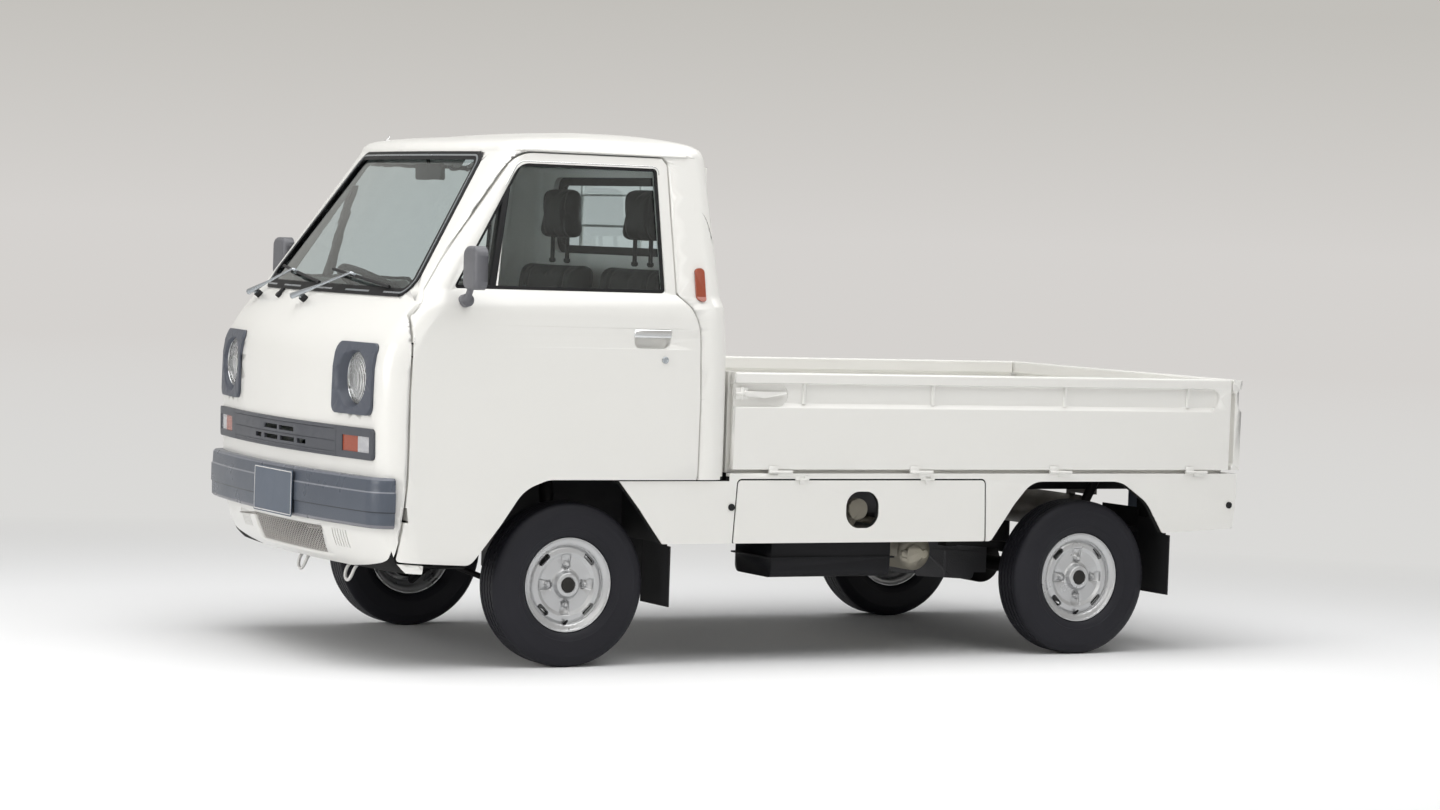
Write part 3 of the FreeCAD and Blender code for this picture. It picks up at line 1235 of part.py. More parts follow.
def make_gate():
    """The left drop side, closed, with its latch in a scooped end of the channel."""
    gate = gate_section(GATE_BACK_X, BED_FRONT_X - 8.0)
    channel = GATE_OUTER_Y - GATE_CHANNEL_DEPTH
    low = GATE_CHANNEL_LOW_Z
    high = GATE_RAIL_LOW_Z
    front = BED_FRONT_X + 60.0
    scoop_end = BED_FRONT_X - 200.0
    scoop_points = (
        (front, low - 12.0, 36.0), (front, high - 2.0, 36.0),
        (scoop_end, high - 2.0, 36.0), (scoop_end, low - 12.0, 36.0),
    )
    scoop = prism(scoop_points, lift_xz, channel - 3.0, GATE_OUTER_Y + 2.0)
    fill = box(GATE_BACK_X, GATE_SCOOP_X + 30.0, channel - 1.0, GATE_OUTER_Y, low - 14.0, high + 1.0)
    ahead = GATE_SCOOP_X + 200.0
    hollow_points = (
        (GATE_SCOOP_X, low - 4.0, 34.0), (GATE_SCOOP_X, high + 1.0, 34.0),
        (ahead, high + 1.0, 34.0), (ahead, low - 4.0, 34.0),
    )
    hollow = prism(hollow_points, lift_xz, channel - 2.0, GATE_OUTER_Y + 1.0)
    ribs = [channel_rib(x) for x in GATE_RIB_XS]
    knuckles = [gate_knuckle(x) for x in GATE_HINGE_XS]
    gate = joined([gate.cut(scoop), fill.cut(hollow)])
    return joined([gate] + gate_latch() + ribs + knuckles)


def make_tailgate():
    """The rear drop gate, made on the same profile and turned across the tail."""
    half = GATE_OUTER_Y - 1.0
    gate = gate_section(-half, half)
    shift = TAIL_X + GATE_OUTER_Y
    knuckles = []
    for y in TAILGATE_HINGE_YS:
        knuckle = gate_knuckle(y)
        knuckles.append(knuckle)
    ribs = [channel_rib(y) for y in (-450.0, 0.0, 450.0)]
    whole = joined([gate] + ribs + knuckles)
    whole.rotate(Vector(0, 0, 0), Vector(0, 0, 1), 90.0)
    return whole.translated(Vector(shift, 0.0, 0.0))


def make_bed():
    """The ribbed floor with its rear sill, and the upright panel behind the cab."""
    edge = GATE_OUTER_Y - GATE_RAIL_WALL - 5.0
    front_x = BED_FRONT_X - 24.0
    low = BED_FLOOR_Z - BED_FLOOR_WALL
    floor = box(GATE_BACK_X - 1.0, front_x, -edge, edge, low, BED_FLOOR_Z)
    grooves = []
    for k in range(-5, 6):
        y = 110.0 * k
        grooves.append(box(
            GATE_BACK_X - 2.0, front_x - 40.0, y - 22.0, y + 22.0, BED_FLOOR_Z - 6.0, BED_FLOOR_Z + 1.0
        ))
    floor = floor.cut(grooves)
    inner_y = SKIRT_OUTER_Y - SKIRT_WALL
    sill = box(SKIRT_BACK_X - 2.0, -1561.0, -inner_y, inner_y, 520.0, low)
    flange = box(-1562.0, GATE_BACK_X + 10.0, -inner_y + 20.0, inner_y - 20.0, low - 6.0, low + 1.0)
    knuckles = []
    for y in TAILGATE_HINGE_YS:
        knuckle = skirt_knuckle(y, 11.0)
        knuckle.rotate(Vector(0, 0, 0), Vector(0, 0, 1), 90.0)
        knuckles.append(knuckle.translated(Vector(TAIL_X + GATE_OUTER_Y, 0.0, 0.0)))
    floor = joined([floor, sill, flange] + knuckles)
    board = box(front_x, front_x + 22.0, -edge, edge, low, GATE_TOP_Z)
    panel = box(
        front_x - 1.0, front_x + 8.0, -edge + 50.0, edge - 50.0, BED_FLOOR_Z + 60.0, GATE_TOP_Z - 60.0
    )
    board = board.cut(panel)
    return floor, board


def lid_knuckle(x, half):
    start = Vector(x - half, LID_HINGE_Y, LID_HINGE_Z)
    return cylinder(start, start + Vector(2.0 * half, 0.0, 0.0), 3.0)


def make_lid(filler_hole):
    """The left skirt's service lid, hung on two small top hinges."""
    outer = SKIRT_OUTER_Y
    points = (
        (LID_BACK_X, SILL_BOTTOM_Z, 6.0), (LID_FRONT_X + 12.0, SILL_BOTTOM_Z, 6.0),
        (LID_FRONT_X, LID_TOP_Z, 12.0), (LID_BACK_X + 8.0, LID_TOP_Z, 12.0),
    )
    lid = prism(points, lift_xz, outer - LID_WALL, outer)
    room = outline_prism(points, lift_xz, LID_GAP, 500.0, 800.0)
    pieces = [lid]
    for x in LID_HINGE_XS:
        leaf = box(x - 9.0, x + 9.0, outer - 1.0, LID_HINGE_Y + 1.5, LID_TOP_Z - 12.0, LID_HINGE_Z)
        pieces.append(joined([lid_knuckle(x, 9.0), leaf]))
    lid = joined(pieces)
    for x in LID_HINGE_XS:
        start = Vector(x - 25.0, LID_HINGE_Y, LID_HINGE_Z)
        lid = lid.cut(cylinder(start, start + Vector(50.0, 0.0, 0.0), 1.5 + PIN_FIT))
    if filler_hole:
        ring = (
            (FILLER_X - 60.0, FILLER_Z - 58.0, 48.0), (FILLER_X + 60.0, FILLER_Z - 58.0, 48.0),
            (FILLER_X + 60.0, FILLER_Z + 58.0, 48.0), (FILLER_X - 60.0, FILLER_Z + 58.0, 48.0),
        )
        lid = lid.cut(prism(ring, lift_xz, 600.0, 800.0))
    return lid, room


def make_skirt(lid_room):
    """The left lower side panel from the front wheel's arch back to the tail."""
    outer = SKIRT_OUTER_Y
    points = (
        (727.0, SILL_TOP_Z), (653.0, 484.0, 200.0), (573.0, SILL_BOTTOM_Z, 8.0),
        (-620.0, SILL_BOTTOM_Z, 20.0), (-704.0, 495.0, 120.0), (-770.0, 570.0, 90.0),
        (-1120.0, 570.0, 110.0), (-1225.0, 500.0, 120.0), (-1290.0, 399.0, 10.0),
        (-1572.0, 413.0, 12.0), (SKIRT_BACK_X, 520.0, 30.0), (SKIRT_BACK_X, SKIRT_TOP_Z),
        (344.0, SKIRT_TOP_Z), (344.0, SILL_TOP_Z),
    )
    panel = prism(points, lift_xz, outer - SKIRT_WALL, outer).cut(lid_room)
    edge = GATE_OUTER_Y - GATE_RAIL_WALL - 5.0
    low = BED_FLOOR_Z - BED_FLOOR_WALL
    flange = box(-1530.0, BED_FRONT_X - 26.0, edge - 20.0, outer - 5.0, low - 6.0, low)
    pieces = [panel, flange] + [skirt_knuckle(x, 7.0) for x in GATE_HINGE_XS]
    for x in LID_HINGE_XS:
        for side in (-1.0, 1.0):
            centre = x + side * 17.0
            top = LID_TOP_Z + LID_GAP + 8.0
            leaf = box(centre - 7.0, centre + 7.0, outer - 2.0, LID_HINGE_Y + 1.5, LID_HINGE_Z, top)
            pieces.append(joined([lid_knuckle(centre, 7.0), leaf]))
        start = Vector(x - 20.0, LID_HINGE_Y, LID_HINGE_Z)
        pieces.append(cylinder(start, start + Vector(40.0, 0.0, 0.0), 1.5))
    return joined(pieces)


def make_side_lamps(front_lenses):
    """Front indicators, cab side markers and rear lamp clusters."""
    marker_points = (
        (442.0, 1125.0, 14.0), (474.0, 1125.0, 14.0), (474.0, 1228.0, 14.0), (442.0, 1228.0, 14.0)
    )
    marker = outline_prism(marker_points, lift_xz, 0.0, 400.0, 800.0)
    marker = marker.common(cab_solid(-9.0)).cut(cab_solid(-SEAT))
    sill_x = SKIRT_BACK_X - 2.0 - SEAT
    rear = box(sill_x - 5.0, sill_x, 485.0, 645.0, 528.0, 584.0)
    return Part.makeCompound(front_lenses + [marker, mirrored(marker), rear, mirrored(rear)])


def make_inner_mirror():
    head = prism(
        ((-178.0, 1474.0, 14.0), (25.0, 1474.0, 14.0), (25.0, 1526.0, 14.0), (-178.0, 1526.0, 14.0)),
        lift_yz, 1040.0, 1054.0,
    )
    stalk = cylinder(Vector(1050.0, -77.0, 1510.0), Vector(1066.0, -77.0, 1620.0), 6.0)
    return joined([head, stalk.common(cab_solid(WALL))])


def save(name, shape):
    shape.exportStep("parts/" + name + ".step")


def main():
    os.makedirs("parts", exist_ok=True)
    nose, frame, back, roof = make_cab()
    nose, bezels, lamp = make_front_fittings(nose)
    panel, ambers, clears = make_grille()
    front_glass, front_seal = glass_in(front_screen_prism)
    rear_glass, rear_seal = glass_in(rear_screen_prism)
    door, door_glass = make_door()
    mirror = make_mirror()
    gate = make_gate()
    bed_floor, bed_front = make_bed()
    left_lid, lid_room = make_lid(True)
    right_lid = make_lid(False)[0]
    skirt = make_skirt(lid_room)
    arms, mount = make_front_suspension()
    wiper_rubber, wiper_steel = make_wipers()
    knuckle = make_knuckle()
    tyre = make_tyre()
    rim = make_rim()
    nodes = {
        "nose_panel": nose,
        "cab_frame": frame,
        "cab_back_panel": back,
        "roof_panel": roof,
        "cab_floor": make_floor(),
        "cab_glass": Part.makeCompound([front_glass, rear_glass]),
        "glass_seals": Part.makeCompound([front_seal, rear_seal]),
        "headlamps": Part.makeCompound([lamp, mirrored(lamp)] + clears),
        "headlamp_bezels": bezels,
        "grille_panel": panel,
        "signal_lamps": make_side_lamps(ambers),
        "apron_screen": make_apron_screen(),
        "front_bumper": make_bumper(),
        "number_plates": make_plates(),
        "wipers": wiper_rubber,
        "wiper_arms": wiper_steel,
        "dashboard": make_dashboard(),
        "steering_wheel": make_steering_wheel(),
        "inner_mirror": make_inner_mirror(),
        "seats": make_seats(),
        "headrests": make_headrests(),
        "door_left": door,
        "door_right": mirrored(door),
        "door_glass_left": door_glass,
        "door_glass_right": mirrored(door_glass),
        "mirror_left": mirror,
        "mirror_right": mirrored(mirror),
        "chassis_rails": make_rails(),
        "cross_members": make_cross_members(),
        "front_suspension": Part.makeCompound([arms, mirrored(arms), mount, mirrored(mount)]),
        "knuckle_left": knuckle,
        "knuckle_right": mirrored(knuckle),
        "rear_axle": make_rear_axle(),
        "engine_block": make_engine(),
        "transaxle": make_transaxle(),
        "fuel_tank": make_fuel_tank(),
        "exhaust": make_exhaust(),
        "rubber_flaps": make_mud_flaps(),
        "bed_floor": bed_floor,
        "bed_front_panel": bed_front,
        "side_skirts": both_sides(skirt),
        "lid_left": left_lid,
        "lid_right": mirrored(right_lid),
        "gate_left": gate,
        "gate_right": mirrored(gate),
        "tailgate": make_tailgate(),
    }
    for place, x in (("front", FRONT_AXLE_X), ("rear", REAR_AXLE_X)):
        for name, side in (("left", 1), ("right", -1)):
            nodes["tyre_" + place + "_" + name] = at_wheel(tyre, x, side)
            nodes["rim_" + place + "_" + name] = at_wheel(rim, x, side)
    for name, shape in nodes.items():
        save(name, shape)


main()
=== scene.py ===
# %% [markdown]
# # A kei truck, dressed around its CAD frame
# The truck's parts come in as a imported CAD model. This script adds the camera, the studio,
# the paint, rubber, glass and metal, and the small pieces that CAD left to Blender.
# Everything is in metres: +X is forward, +Y is the truck's left and +Z is up. The CAD nodes are
# never moved: a piece goes where the CAD says, and rides on the CAD body that carries it.

import json
import math

import bpy
from mathutils import Matrix, Vector


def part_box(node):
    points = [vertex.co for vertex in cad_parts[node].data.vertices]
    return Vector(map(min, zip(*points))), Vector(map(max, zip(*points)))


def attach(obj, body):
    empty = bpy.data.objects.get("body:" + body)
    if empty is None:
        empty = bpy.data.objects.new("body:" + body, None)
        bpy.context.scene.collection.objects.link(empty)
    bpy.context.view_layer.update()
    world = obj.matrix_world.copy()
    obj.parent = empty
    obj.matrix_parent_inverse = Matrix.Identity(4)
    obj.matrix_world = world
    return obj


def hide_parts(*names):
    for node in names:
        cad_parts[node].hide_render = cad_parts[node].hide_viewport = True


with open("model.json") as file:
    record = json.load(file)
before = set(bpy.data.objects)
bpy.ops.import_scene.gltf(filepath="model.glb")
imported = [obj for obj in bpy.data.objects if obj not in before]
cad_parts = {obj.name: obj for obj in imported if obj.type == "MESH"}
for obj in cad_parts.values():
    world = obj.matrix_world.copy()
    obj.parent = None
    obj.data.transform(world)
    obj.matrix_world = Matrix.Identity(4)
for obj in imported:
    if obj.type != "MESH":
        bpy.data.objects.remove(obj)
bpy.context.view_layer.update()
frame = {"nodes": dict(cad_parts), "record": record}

# %% [markdown]
# ## Camera
# A long lens from about 12 m away, a little above the bonnet's height, looks at the truck's left
# front corner. It could be aimed by eye with a Track To constraint, but a long lens forgives no
# error, so its place was fitted to known edges of the truck. It is also rolled by two degrees.

# %% The camera
VIEW_YAW = math.radians(28.4122534)
VIEW_PITCH = math.radians(-2.5868633)
VIEW_ROLL = math.radians(1.9939604)

ahead = Vector((
    -math.sin(VIEW_YAW) * math.cos(VIEW_PITCH),
    -math.cos(VIEW_YAW) * math.cos(VIEW_PITCH),
    math.sin(VIEW_PITCH),
))
level_right = ahead.cross(Vector((0, 0, 1))).normalized()
level_up = level_right.cross(ahead)
right = level_right * math.cos(VIEW_ROLL) + level_up * math.sin(VIEW_ROLL)
up = level_up * math.cos(VIEW_ROLL) - level_right * math.sin(VIEW_ROLL)

CAMERA_PLACE = (5.92025, 10.917372, 1.333312)
camera_data = bpy.data.cameras.new("camera")
camera_data.lens = 94.19
camera_data.sensor_width = 36.0
camera_data.clip_end = 200.0
camera = bpy.data.objects.new("camera", camera_data)
turn = Matrix((right, up, -ahead)).transposed()
camera.matrix_world = Matrix.Translation(CAMERA_PLACE) @ turn.to_4x4()
bpy.context.scene.collection.objects.link(camera)
bpy.context.scene.camera = camera
bpy.context.scene.view_settings.view_transform = "Standard"
print("camera at", tuple(round(v, 2) for v in camera.location))

# %% [markdown]
# ## Material helpers
# Most finishes here are one Principled shader fed by small effects: a colour that drifts a little over the
# surface, a fine grain in the relief, dust low down near the road, and zones where one part of a piece has
# another colour, or where painted highlights and painted shade lie. Each effect could be drawn anew in
# every material. Here it is a node group, built once and placed in each material with that material's own
# values.

# %% Node helpers
def new_group(name, inputs, outputs):
    """A shader node group with named sockets; inputs are (name, type, default)."""
    group = bpy.data.node_groups.new(name, "ShaderNodeTree")
    for label, kind, value in inputs:
        socket = group.interface.new_socket(label, in_out="INPUT", socket_type=kind)
        socket.default_value = value
    for label, kind in outputs:
        group.interface.new_socket(label, in_out="OUTPUT", socket_type=kind)
    enter = group.nodes.new("NodeGroupInput")
    leave = group.nodes.new("NodeGroupOutput")
    return group, enter, leave


def plug(tree, value, socket):
    """Feeds a socket from another socket, or sets it to a plain value."""
    if hasattr(value, "links"):
        tree.links.new(value, socket)
    else:
        socket.default_value = value


def add_noise(tree, scale, detail):
    """Noise on object coordinates, with its scale taken from a socket or a number."""
    place = tree.nodes.new("ShaderNodeTexCoord")
    noise = tree.nodes.new("ShaderNodeTexNoise")
    noise.inputs["Detail"].default_value = detail
    tree.links.new(place.outputs["Object"], noise.inputs["Vector"])
    plug(tree, scale, noise.inputs["Scale"])
    return noise


def add_range(tree, source, low, high, out_low=0.0, out_high=1.0):
    """A value squeezed from one range into another."""
    node = tree.nodes.new("ShaderNodeMapRange")
    node.inputs["From Min"].default_value = low
    node.inputs["From Max"].default_value = high
    node.inputs["To Min"].default_value = out_low
    node.inputs["To Max"].default_value = out_high
    tree.links.new(source, node.inputs["Value"])
    return node.outputs["Result"]


def add_maths(tree, operation, first, second):
    """One maths step; each side is a socket or a number."""
    node = tree.nodes.new("ShaderNodeMath")
    node.operation = operation
    plug(tree, first, node.inputs[0])
    plug(tree, second, node.inputs[1])
    return node.outputs["Value"]


def add_mix(tree, share, first, second):
    """Two colours mixed by a share; each is a socket or a colour."""
    node = tree.nodes.new("ShaderNodeMix")
    node.data_type = "RGBA"
    plug(tree, share, node.inputs[0])
    plug(tree, first, node.inputs[6])
    plug(tree, second, node.inputs[7])
    return node.outputs[2]


print("node helpers ready")


# %% The shared effects
drift, enter, leave = new_group(
    "colour drift",
    [("Colour", "NodeSocketColor", (0.5, 0.5, 0.5, 1)),
     ("Other Colour", "NodeSocketColor", (0.4, 0.4, 0.4, 1)),
     ("Scale", "NodeSocketFloat", 3.0)],
    [("Colour", "NodeSocketColor")],
)
noise = add_noise(drift, enter.outputs["Scale"], 3.0)
share = add_range(drift, noise.outputs["Fac"], 0.35, 0.65)
blend = add_mix(drift, share, enter.outputs["Colour"], enter.outputs["Other Colour"])
drift.links.new(blend, leave.inputs["Colour"])

grain, enter, leave = new_group(
    "fine grain", [("Scale", "NodeSocketFloat", 400.0)], [("Height", "NodeSocketFloat")]
)
noise = add_noise(grain, enter.outputs["Scale"], 2.0)
grain.links.new(noise.outputs["Fac"], leave.inputs["Height"])

dust, enter, leave = new_group(
    "road dust", [("Top", "NodeSocketFloat", 0.4), ("Amount", "NodeSocketFloat", 0.3)],
    [("Mask", "NodeSocketFloat")],
)
place = dust.nodes.new("ShaderNodeTexCoord")
split = dust.nodes.new("ShaderNodeSeparateXYZ")
dust.links.new(place.outputs["Object"], split.inputs["Vector"])
noise = add_noise(dust, 9.0, 4.0)
below = add_maths(dust, "SUBTRACT", enter.outputs["Top"], split.outputs["Z"])
fade = add_range(dust, below, 0.0, 0.35)
patchy = add_range(dust, noise.outputs["Fac"], 0.3, 0.75)
mask = add_maths(dust, "MULTIPLY", fade, patchy)
dust.links.new(add_maths(dust, "MULTIPLY", mask, enter.outputs["Amount"]), leave.inputs["Mask"])
print("effects", [group.name for group in (drift, grain, dust)])

# %% [markdown]
# A zone is a box in the truck's own space, the same on the left and on the right. The near-black insides of
# the wheel arches, red glass in the rear lamps, and painted highlights and painted shade along the bumper
# are zones. The red glass could be a piece of its own, but on the real truck it is moulded on one piece
# with the lamp, so a mask is nearer the truth there. The bumper's lines are painted light: they stand in
# for the highlights and shade that its shallow grooves and top chamfer would catch.

# %% The zone mask
LIMITS = ("X Low", "X High", "Y Low", "Y High", "Z Low", "Z High")
zone, enter, leave = new_group(
    "zone", [(label, "NodeSocketFloat", 0.0) for label in LIMITS], [("Mask", "NodeSocketFloat")]
)
place = zone.nodes.new("ShaderNodeTexCoord")
split = zone.nodes.new("ShaderNodeSeparateXYZ")
zone.links.new(place.outputs["Object"], split.inputs["Vector"])
inside = 1.0
for axis in "XYZ":
    reach = split.outputs[axis]
    if axis == "Y":
        reach = add_maths(zone, "ABSOLUTE", reach, 0.0)
    above = add_maths(zone, "GREATER_THAN", reach, enter.outputs[axis + " Low"])
    under = add_maths(zone, "LESS_THAN", reach, enter.outputs[axis + " High"])
    inside = add_maths(zone, "MULTIPLY", inside, add_maths(zone, "MULTIPLY", above, under))
zone.links.new(inside, leave.inputs["Mask"])
print("node groups", [g.name for g in bpy.data.node_groups])


# %% One finish from its numbers
def place_group(tree, group, **values):
    """A node group placed in a material, with this material's own values."""
    node = tree.nodes.new("ShaderNodeGroup")
    node.node_tree = group
    for label, value in values.items():
        node.inputs[label.replace("_", " ")].default_value = value
    return node


ROAD_DUST = (0.30, 0.27, 0.23, 1.0)


def make_finish(name, colour, other, roughness, metallic=0.0, grain_scale=600.0, grain_depth=0.0,
                drift_scale=2.0, dust_top=0.35, dust_amount=0.0, rough_swing=0.04, zones=(), **extra):
    """A Principled material with drift, grain, dust and zones; extra sets named shader sockets.

    On a coated finish, a zone also takes the gloss coat off and is fully rough.
    """
    material = bpy.data.materials.new(name)
    material.use_nodes = True
    tree = material.node_tree
    shader = tree.nodes["Principled BSDF"]
    shader.inputs["Metallic"].default_value = metallic
    for label, value in extra.items():
        shader.inputs[label.replace("_", " ")].default_value = value
    shade = place_group(tree, drift, Colour=colour + (1.0,), Other_Colour=other + (1.0,),
                        Scale=drift_scale)
    tint = shade.outputs["Colour"]
    coat = shader.inputs["Coat Weight"].default_value
    coated = coat > 0.0
    dull = 0.0
    for limits, zone_colour in zones:
        node = place_group(tree, zone)
        for label, value in zip(LIMITS, limits):
            node.inputs[label].default_value = value
        tint = add_mix(tree, node.outputs["Mask"], tint, zone_colour + (1.0,))
        if coated:
            outside = add_maths(tree, "SUBTRACT", 1.0, node.outputs["Mask"])
            coat = add_maths(tree, "MULTIPLY", coat, outside)
            plug(tree, coat, shader.inputs["Coat Weight"])
            dull = add_maths(tree, "MAXIMUM", dull, node.outputs["Mask"])
    if dust_amount > 0.0:
        dusty = place_group(tree, dust, Top=dust_top, Amount=dust_amount)
        tint = add_mix(tree, dusty.outputs["Mask"], tint, ROAD_DUST)
    tree.links.new(tint, shader.inputs["Base Color"])
    sheen_noise = add_noise(tree, drift_scale * 6.0, 3.0)
    rough = add_range(tree, sheen_noise.outputs["Fac"], 0.3, 0.7,
                      roughness - rough_swing, roughness + rough_swing)
    if coated and zones:
        rough = add_maths(tree, "MAXIMUM", rough, dull)
    tree.links.new(rough, shader.inputs["Roughness"])
    if grain_depth > 0.0:
        relief = place_group(tree, grain, Scale=grain_scale)
        bump = tree.nodes.new("ShaderNodeBump")
        bump.inputs["Distance"].default_value = grain_depth
        tree.links.new(relief.outputs["Height"], bump.inputs["Height"])
        tree.links.new(bump.outputs["Normal"], shader.inputs["Normal"])
    return material


print("finish maker ready")

# %% [markdown]
# ## The studio
# The floor is white and plain, and the air behind it is a soft grey, as on a sheet of studio paper.
# More lamps could brighten them, but would wash out the truck. So both have a colour of their own
# for rays that see them, from the camera or by way of metal and glass, and the lamps stay at a
# plain level. The floor fades from lit white near the truck into that colour further off.

# %% The world
AIR_LOW = (0.705, 0.70, 0.685, 1.0)
AIR_MIDDLE = (0.665, 0.645, 0.625, 1.0)
AIR_HIGH = (0.54, 0.525, 0.495, 1.0)
AMBIENT = 0.22


def seen_share(tree):
    """1 for rays that look at a surface, from the camera or by way of metal or glass, and else 0."""
    path = tree.nodes.new("ShaderNodeLightPath")
    direct = add_maths(tree, "MAXIMUM", path.outputs["Is Camera Ray"], path.outputs["Is Transmission Ray"])
    return add_maths(tree, "MAXIMUM", direct, path.outputs["Is Glossy Ray"])


world = bpy.data.worlds.new("studio")
bpy.context.scene.world = world
world.use_nodes = True
sky = world.node_tree
sky.nodes.clear()
place = sky.nodes.new("ShaderNodeTexCoord")
split = sky.nodes.new("ShaderNodeSeparateXYZ")
sky.links.new(place.outputs["Generated"], split.inputs["Vector"])
rise = add_range(sky, split.outputs["Z"], 0.0, 0.062)
seen = sky.nodes.new("ShaderNodeBackground")
sky.links.new(add_mix(sky, rise, AIR_MIDDLE, AIR_HIGH), seen.inputs["Color"])
lit = sky.nodes.new("ShaderNodeBackground")
lit.inputs["Color"].default_value = (0.96, 0.98, 1.0, 1.0)
lit.inputs["Strength"].default_value = AMBIENT
blend_air = sky.nodes.new("ShaderNodeMixShader")
sky.links.new(seen_share(sky), blend_air.inputs["Fac"])
sky.links.new(lit.outputs[0], blend_air.inputs[1])
sky.links.new(seen.outputs[0], blend_air.inputs[2])
finish_air = sky.nodes.new("ShaderNodeOutputWorld")
sky.links.new(blend_air.outputs[0], finish_air.inputs["Surface"])
print("world ready")


# %% The floor
def select_only(*pieces):
    """Deselects everything, then selects these pieces and makes the last one active."""
    bpy.ops.object.select_all(action="DESELECT")
    for piece in pieces:
        piece.select_set(True)
        bpy.context.view_layer.objects.active = piece


FLOOR_RADIUS = 90.0
LIT_RADIUS, PALE_RADIUS, FAR_RADIUS = 5.4, 8.6, 34.0
bpy.ops.object.select_all(action="DESELECT")
bpy.ops.mesh.primitive_circle_add(vertices=96, radius=FLOOR_RADIUS, fill_type="NGON", location=(0, 0, 0))
floor = bpy.context.active_object
floor.name = "studio_floor"
floor_paint = bpy.data.materials.new("studio floor")
floor_paint.use_nodes = True
tree = floor_paint.node_tree
shader = tree.nodes["Principled BSDF"]
shader.inputs["Base Color"].default_value = (0.86, 0.86, 0.86, 1.0)
shader.inputs["Roughness"].default_value = 0.7
shader.inputs["Specular IOR Level"].default_value = 0.2
place = tree.nodes.new("ShaderNodeTexCoord")
centre = tree.nodes.new("ShaderNodeMapping")
centre.inputs["Location"].default_value = (-1.9, -3.5, 0.0)
length = tree.nodes.new("ShaderNodeVectorMath")
length.operation = "LENGTH"
tree.links.new(place.outputs["Object"], centre.inputs["Vector"])
tree.links.new(centre.outputs["Vector"], length.inputs[0])
far = add_range(tree, length.outputs["Value"], LIT_RADIUS, PALE_RADIUS)
further = add_range(tree, length.outputs["Value"], PALE_RADIUS, FAR_RADIUS)
glow = tree.nodes.new("ShaderNodeEmission")
tree.links.new(add_mix(tree, further, AIR_LOW, AIR_MIDDLE), glow.inputs["Color"])
faded = add_maths(tree, "MULTIPLY", far, seen_share(tree))
mixer = tree.nodes.new("ShaderNodeMixShader")
tree.links.new(faded, mixer.inputs["Fac"])
tree.links.new(shader.outputs[0], mixer.inputs[1])
tree.links.new(glow.outputs[0], mixer.inputs[2])
tree.links.new(mixer.outputs[0], tree.nodes["Material Output"].inputs["Surface"])
floor.data.materials.append(floor_paint)
print("floor ready")


# %% [markdown]
# A wide softbox over the truck does most of the work, as the ceiling of a car studio does. Two
# smaller ones fill the side and the nose. A sun lamp would be simpler, but it gives hard shadows.

# %% The lamps
def add_softbox(name, place, target, size, power, colour=(1.0, 1.0, 1.0)):
    """A rectangular area lamp aimed at a point."""
    lamp_data = bpy.data.lights.new(name, "AREA")
    lamp_data.shape = "RECTANGLE"
    lamp_data.size, lamp_data.size_y = size
    lamp_data.energy = power
    lamp_data.color = colour
    lamp = bpy.data.objects.new(name, lamp_data)
    lamp.location = place
    lamp.rotation_euler = (Vector(target) - Vector(place)).to_track_quat("-Z", "Y").to_euler()
    bpy.context.scene.collection.objects.link(lamp)


add_softbox("overhead lamp", (0.3, 1.2, 5.6), (0, 0.6, 0.0), (9.0, 7.5), 505.0)
add_softbox("side lamp", (0.5, 10.5, 3.4), (0, 0, 0.7), (6.0, 3.0), 105.0, (1.0, 0.99, 0.97))
add_softbox("front lamp", (7.5, 1.5, 2.4), (1, 0, 0.8), (3.0, 3.0), 180.0, (1.0, 0.99, 0.97))
print("lamps", len(bpy.data.lights))

# %% [markdown]
# ## Finishes
# The cab and bed are sprayed in one warm white enamel under a clear gloss. The bumper, grille and
# lamp frames are slate-grey moulded plastic, the wheels silver lacquer, and all that shows under
# the truck is black chassis paint, with a little dust near the road. Flat colours would look like
# toys, so each finish is two close colours that drift into one another, with a grain of its own.
# Black finishes get a low specular level, or the pale room would turn them grey.

# %% Paints, plastics and metals
# The insides of the wheel arches and the underside of the nose are near-black on the white enamel.
NEAR_BLACK = (0.004, 0.004, 0.004)
ARCHES = ((-2.0, 1.370, -1.0, 0.687, 0.0, 0.586), NEAR_BLACK)
NOSE_UNDERSIDE = ((1.369, 1.46, -1.0, 0.655, 0.0, 0.586), NEAR_BLACK)
RED_LENSES = ((-2.0, -1.4, 0.0, 1.0, 0.0, 1.0), (0.38, 0.008, 0.008))
# Painted highlights and painted shade on the bumper: a pale line at mid-height, a dark line of painted
# shade lower down, a lighter painted top edge and a lighter painted band near its foot.
BUMPER_PAINTED_LIGHT = [
    ((1.0, 2.0, -1.0, 1.0, 0.5355, 0.5395), (0.26, 0.27, 0.30)),
    ((1.0, 2.0, -1.0, 1.0, 0.4765, 0.4800), (0.030, 0.034, 0.042)),
    ((1.0, 2.0, -1.0, 1.0, 0.5730, 0.5810), (0.17, 0.18, 0.21)),
    ((1.0, 2.0, -1.0, 1.0, 0.4250, 0.4400), (0.19, 0.19, 0.21)),
]
FILLER_CAP = ((-0.3, 0.1, 0.56, 0.72, 0.40, 0.56), (0.20, 0.185, 0.15))
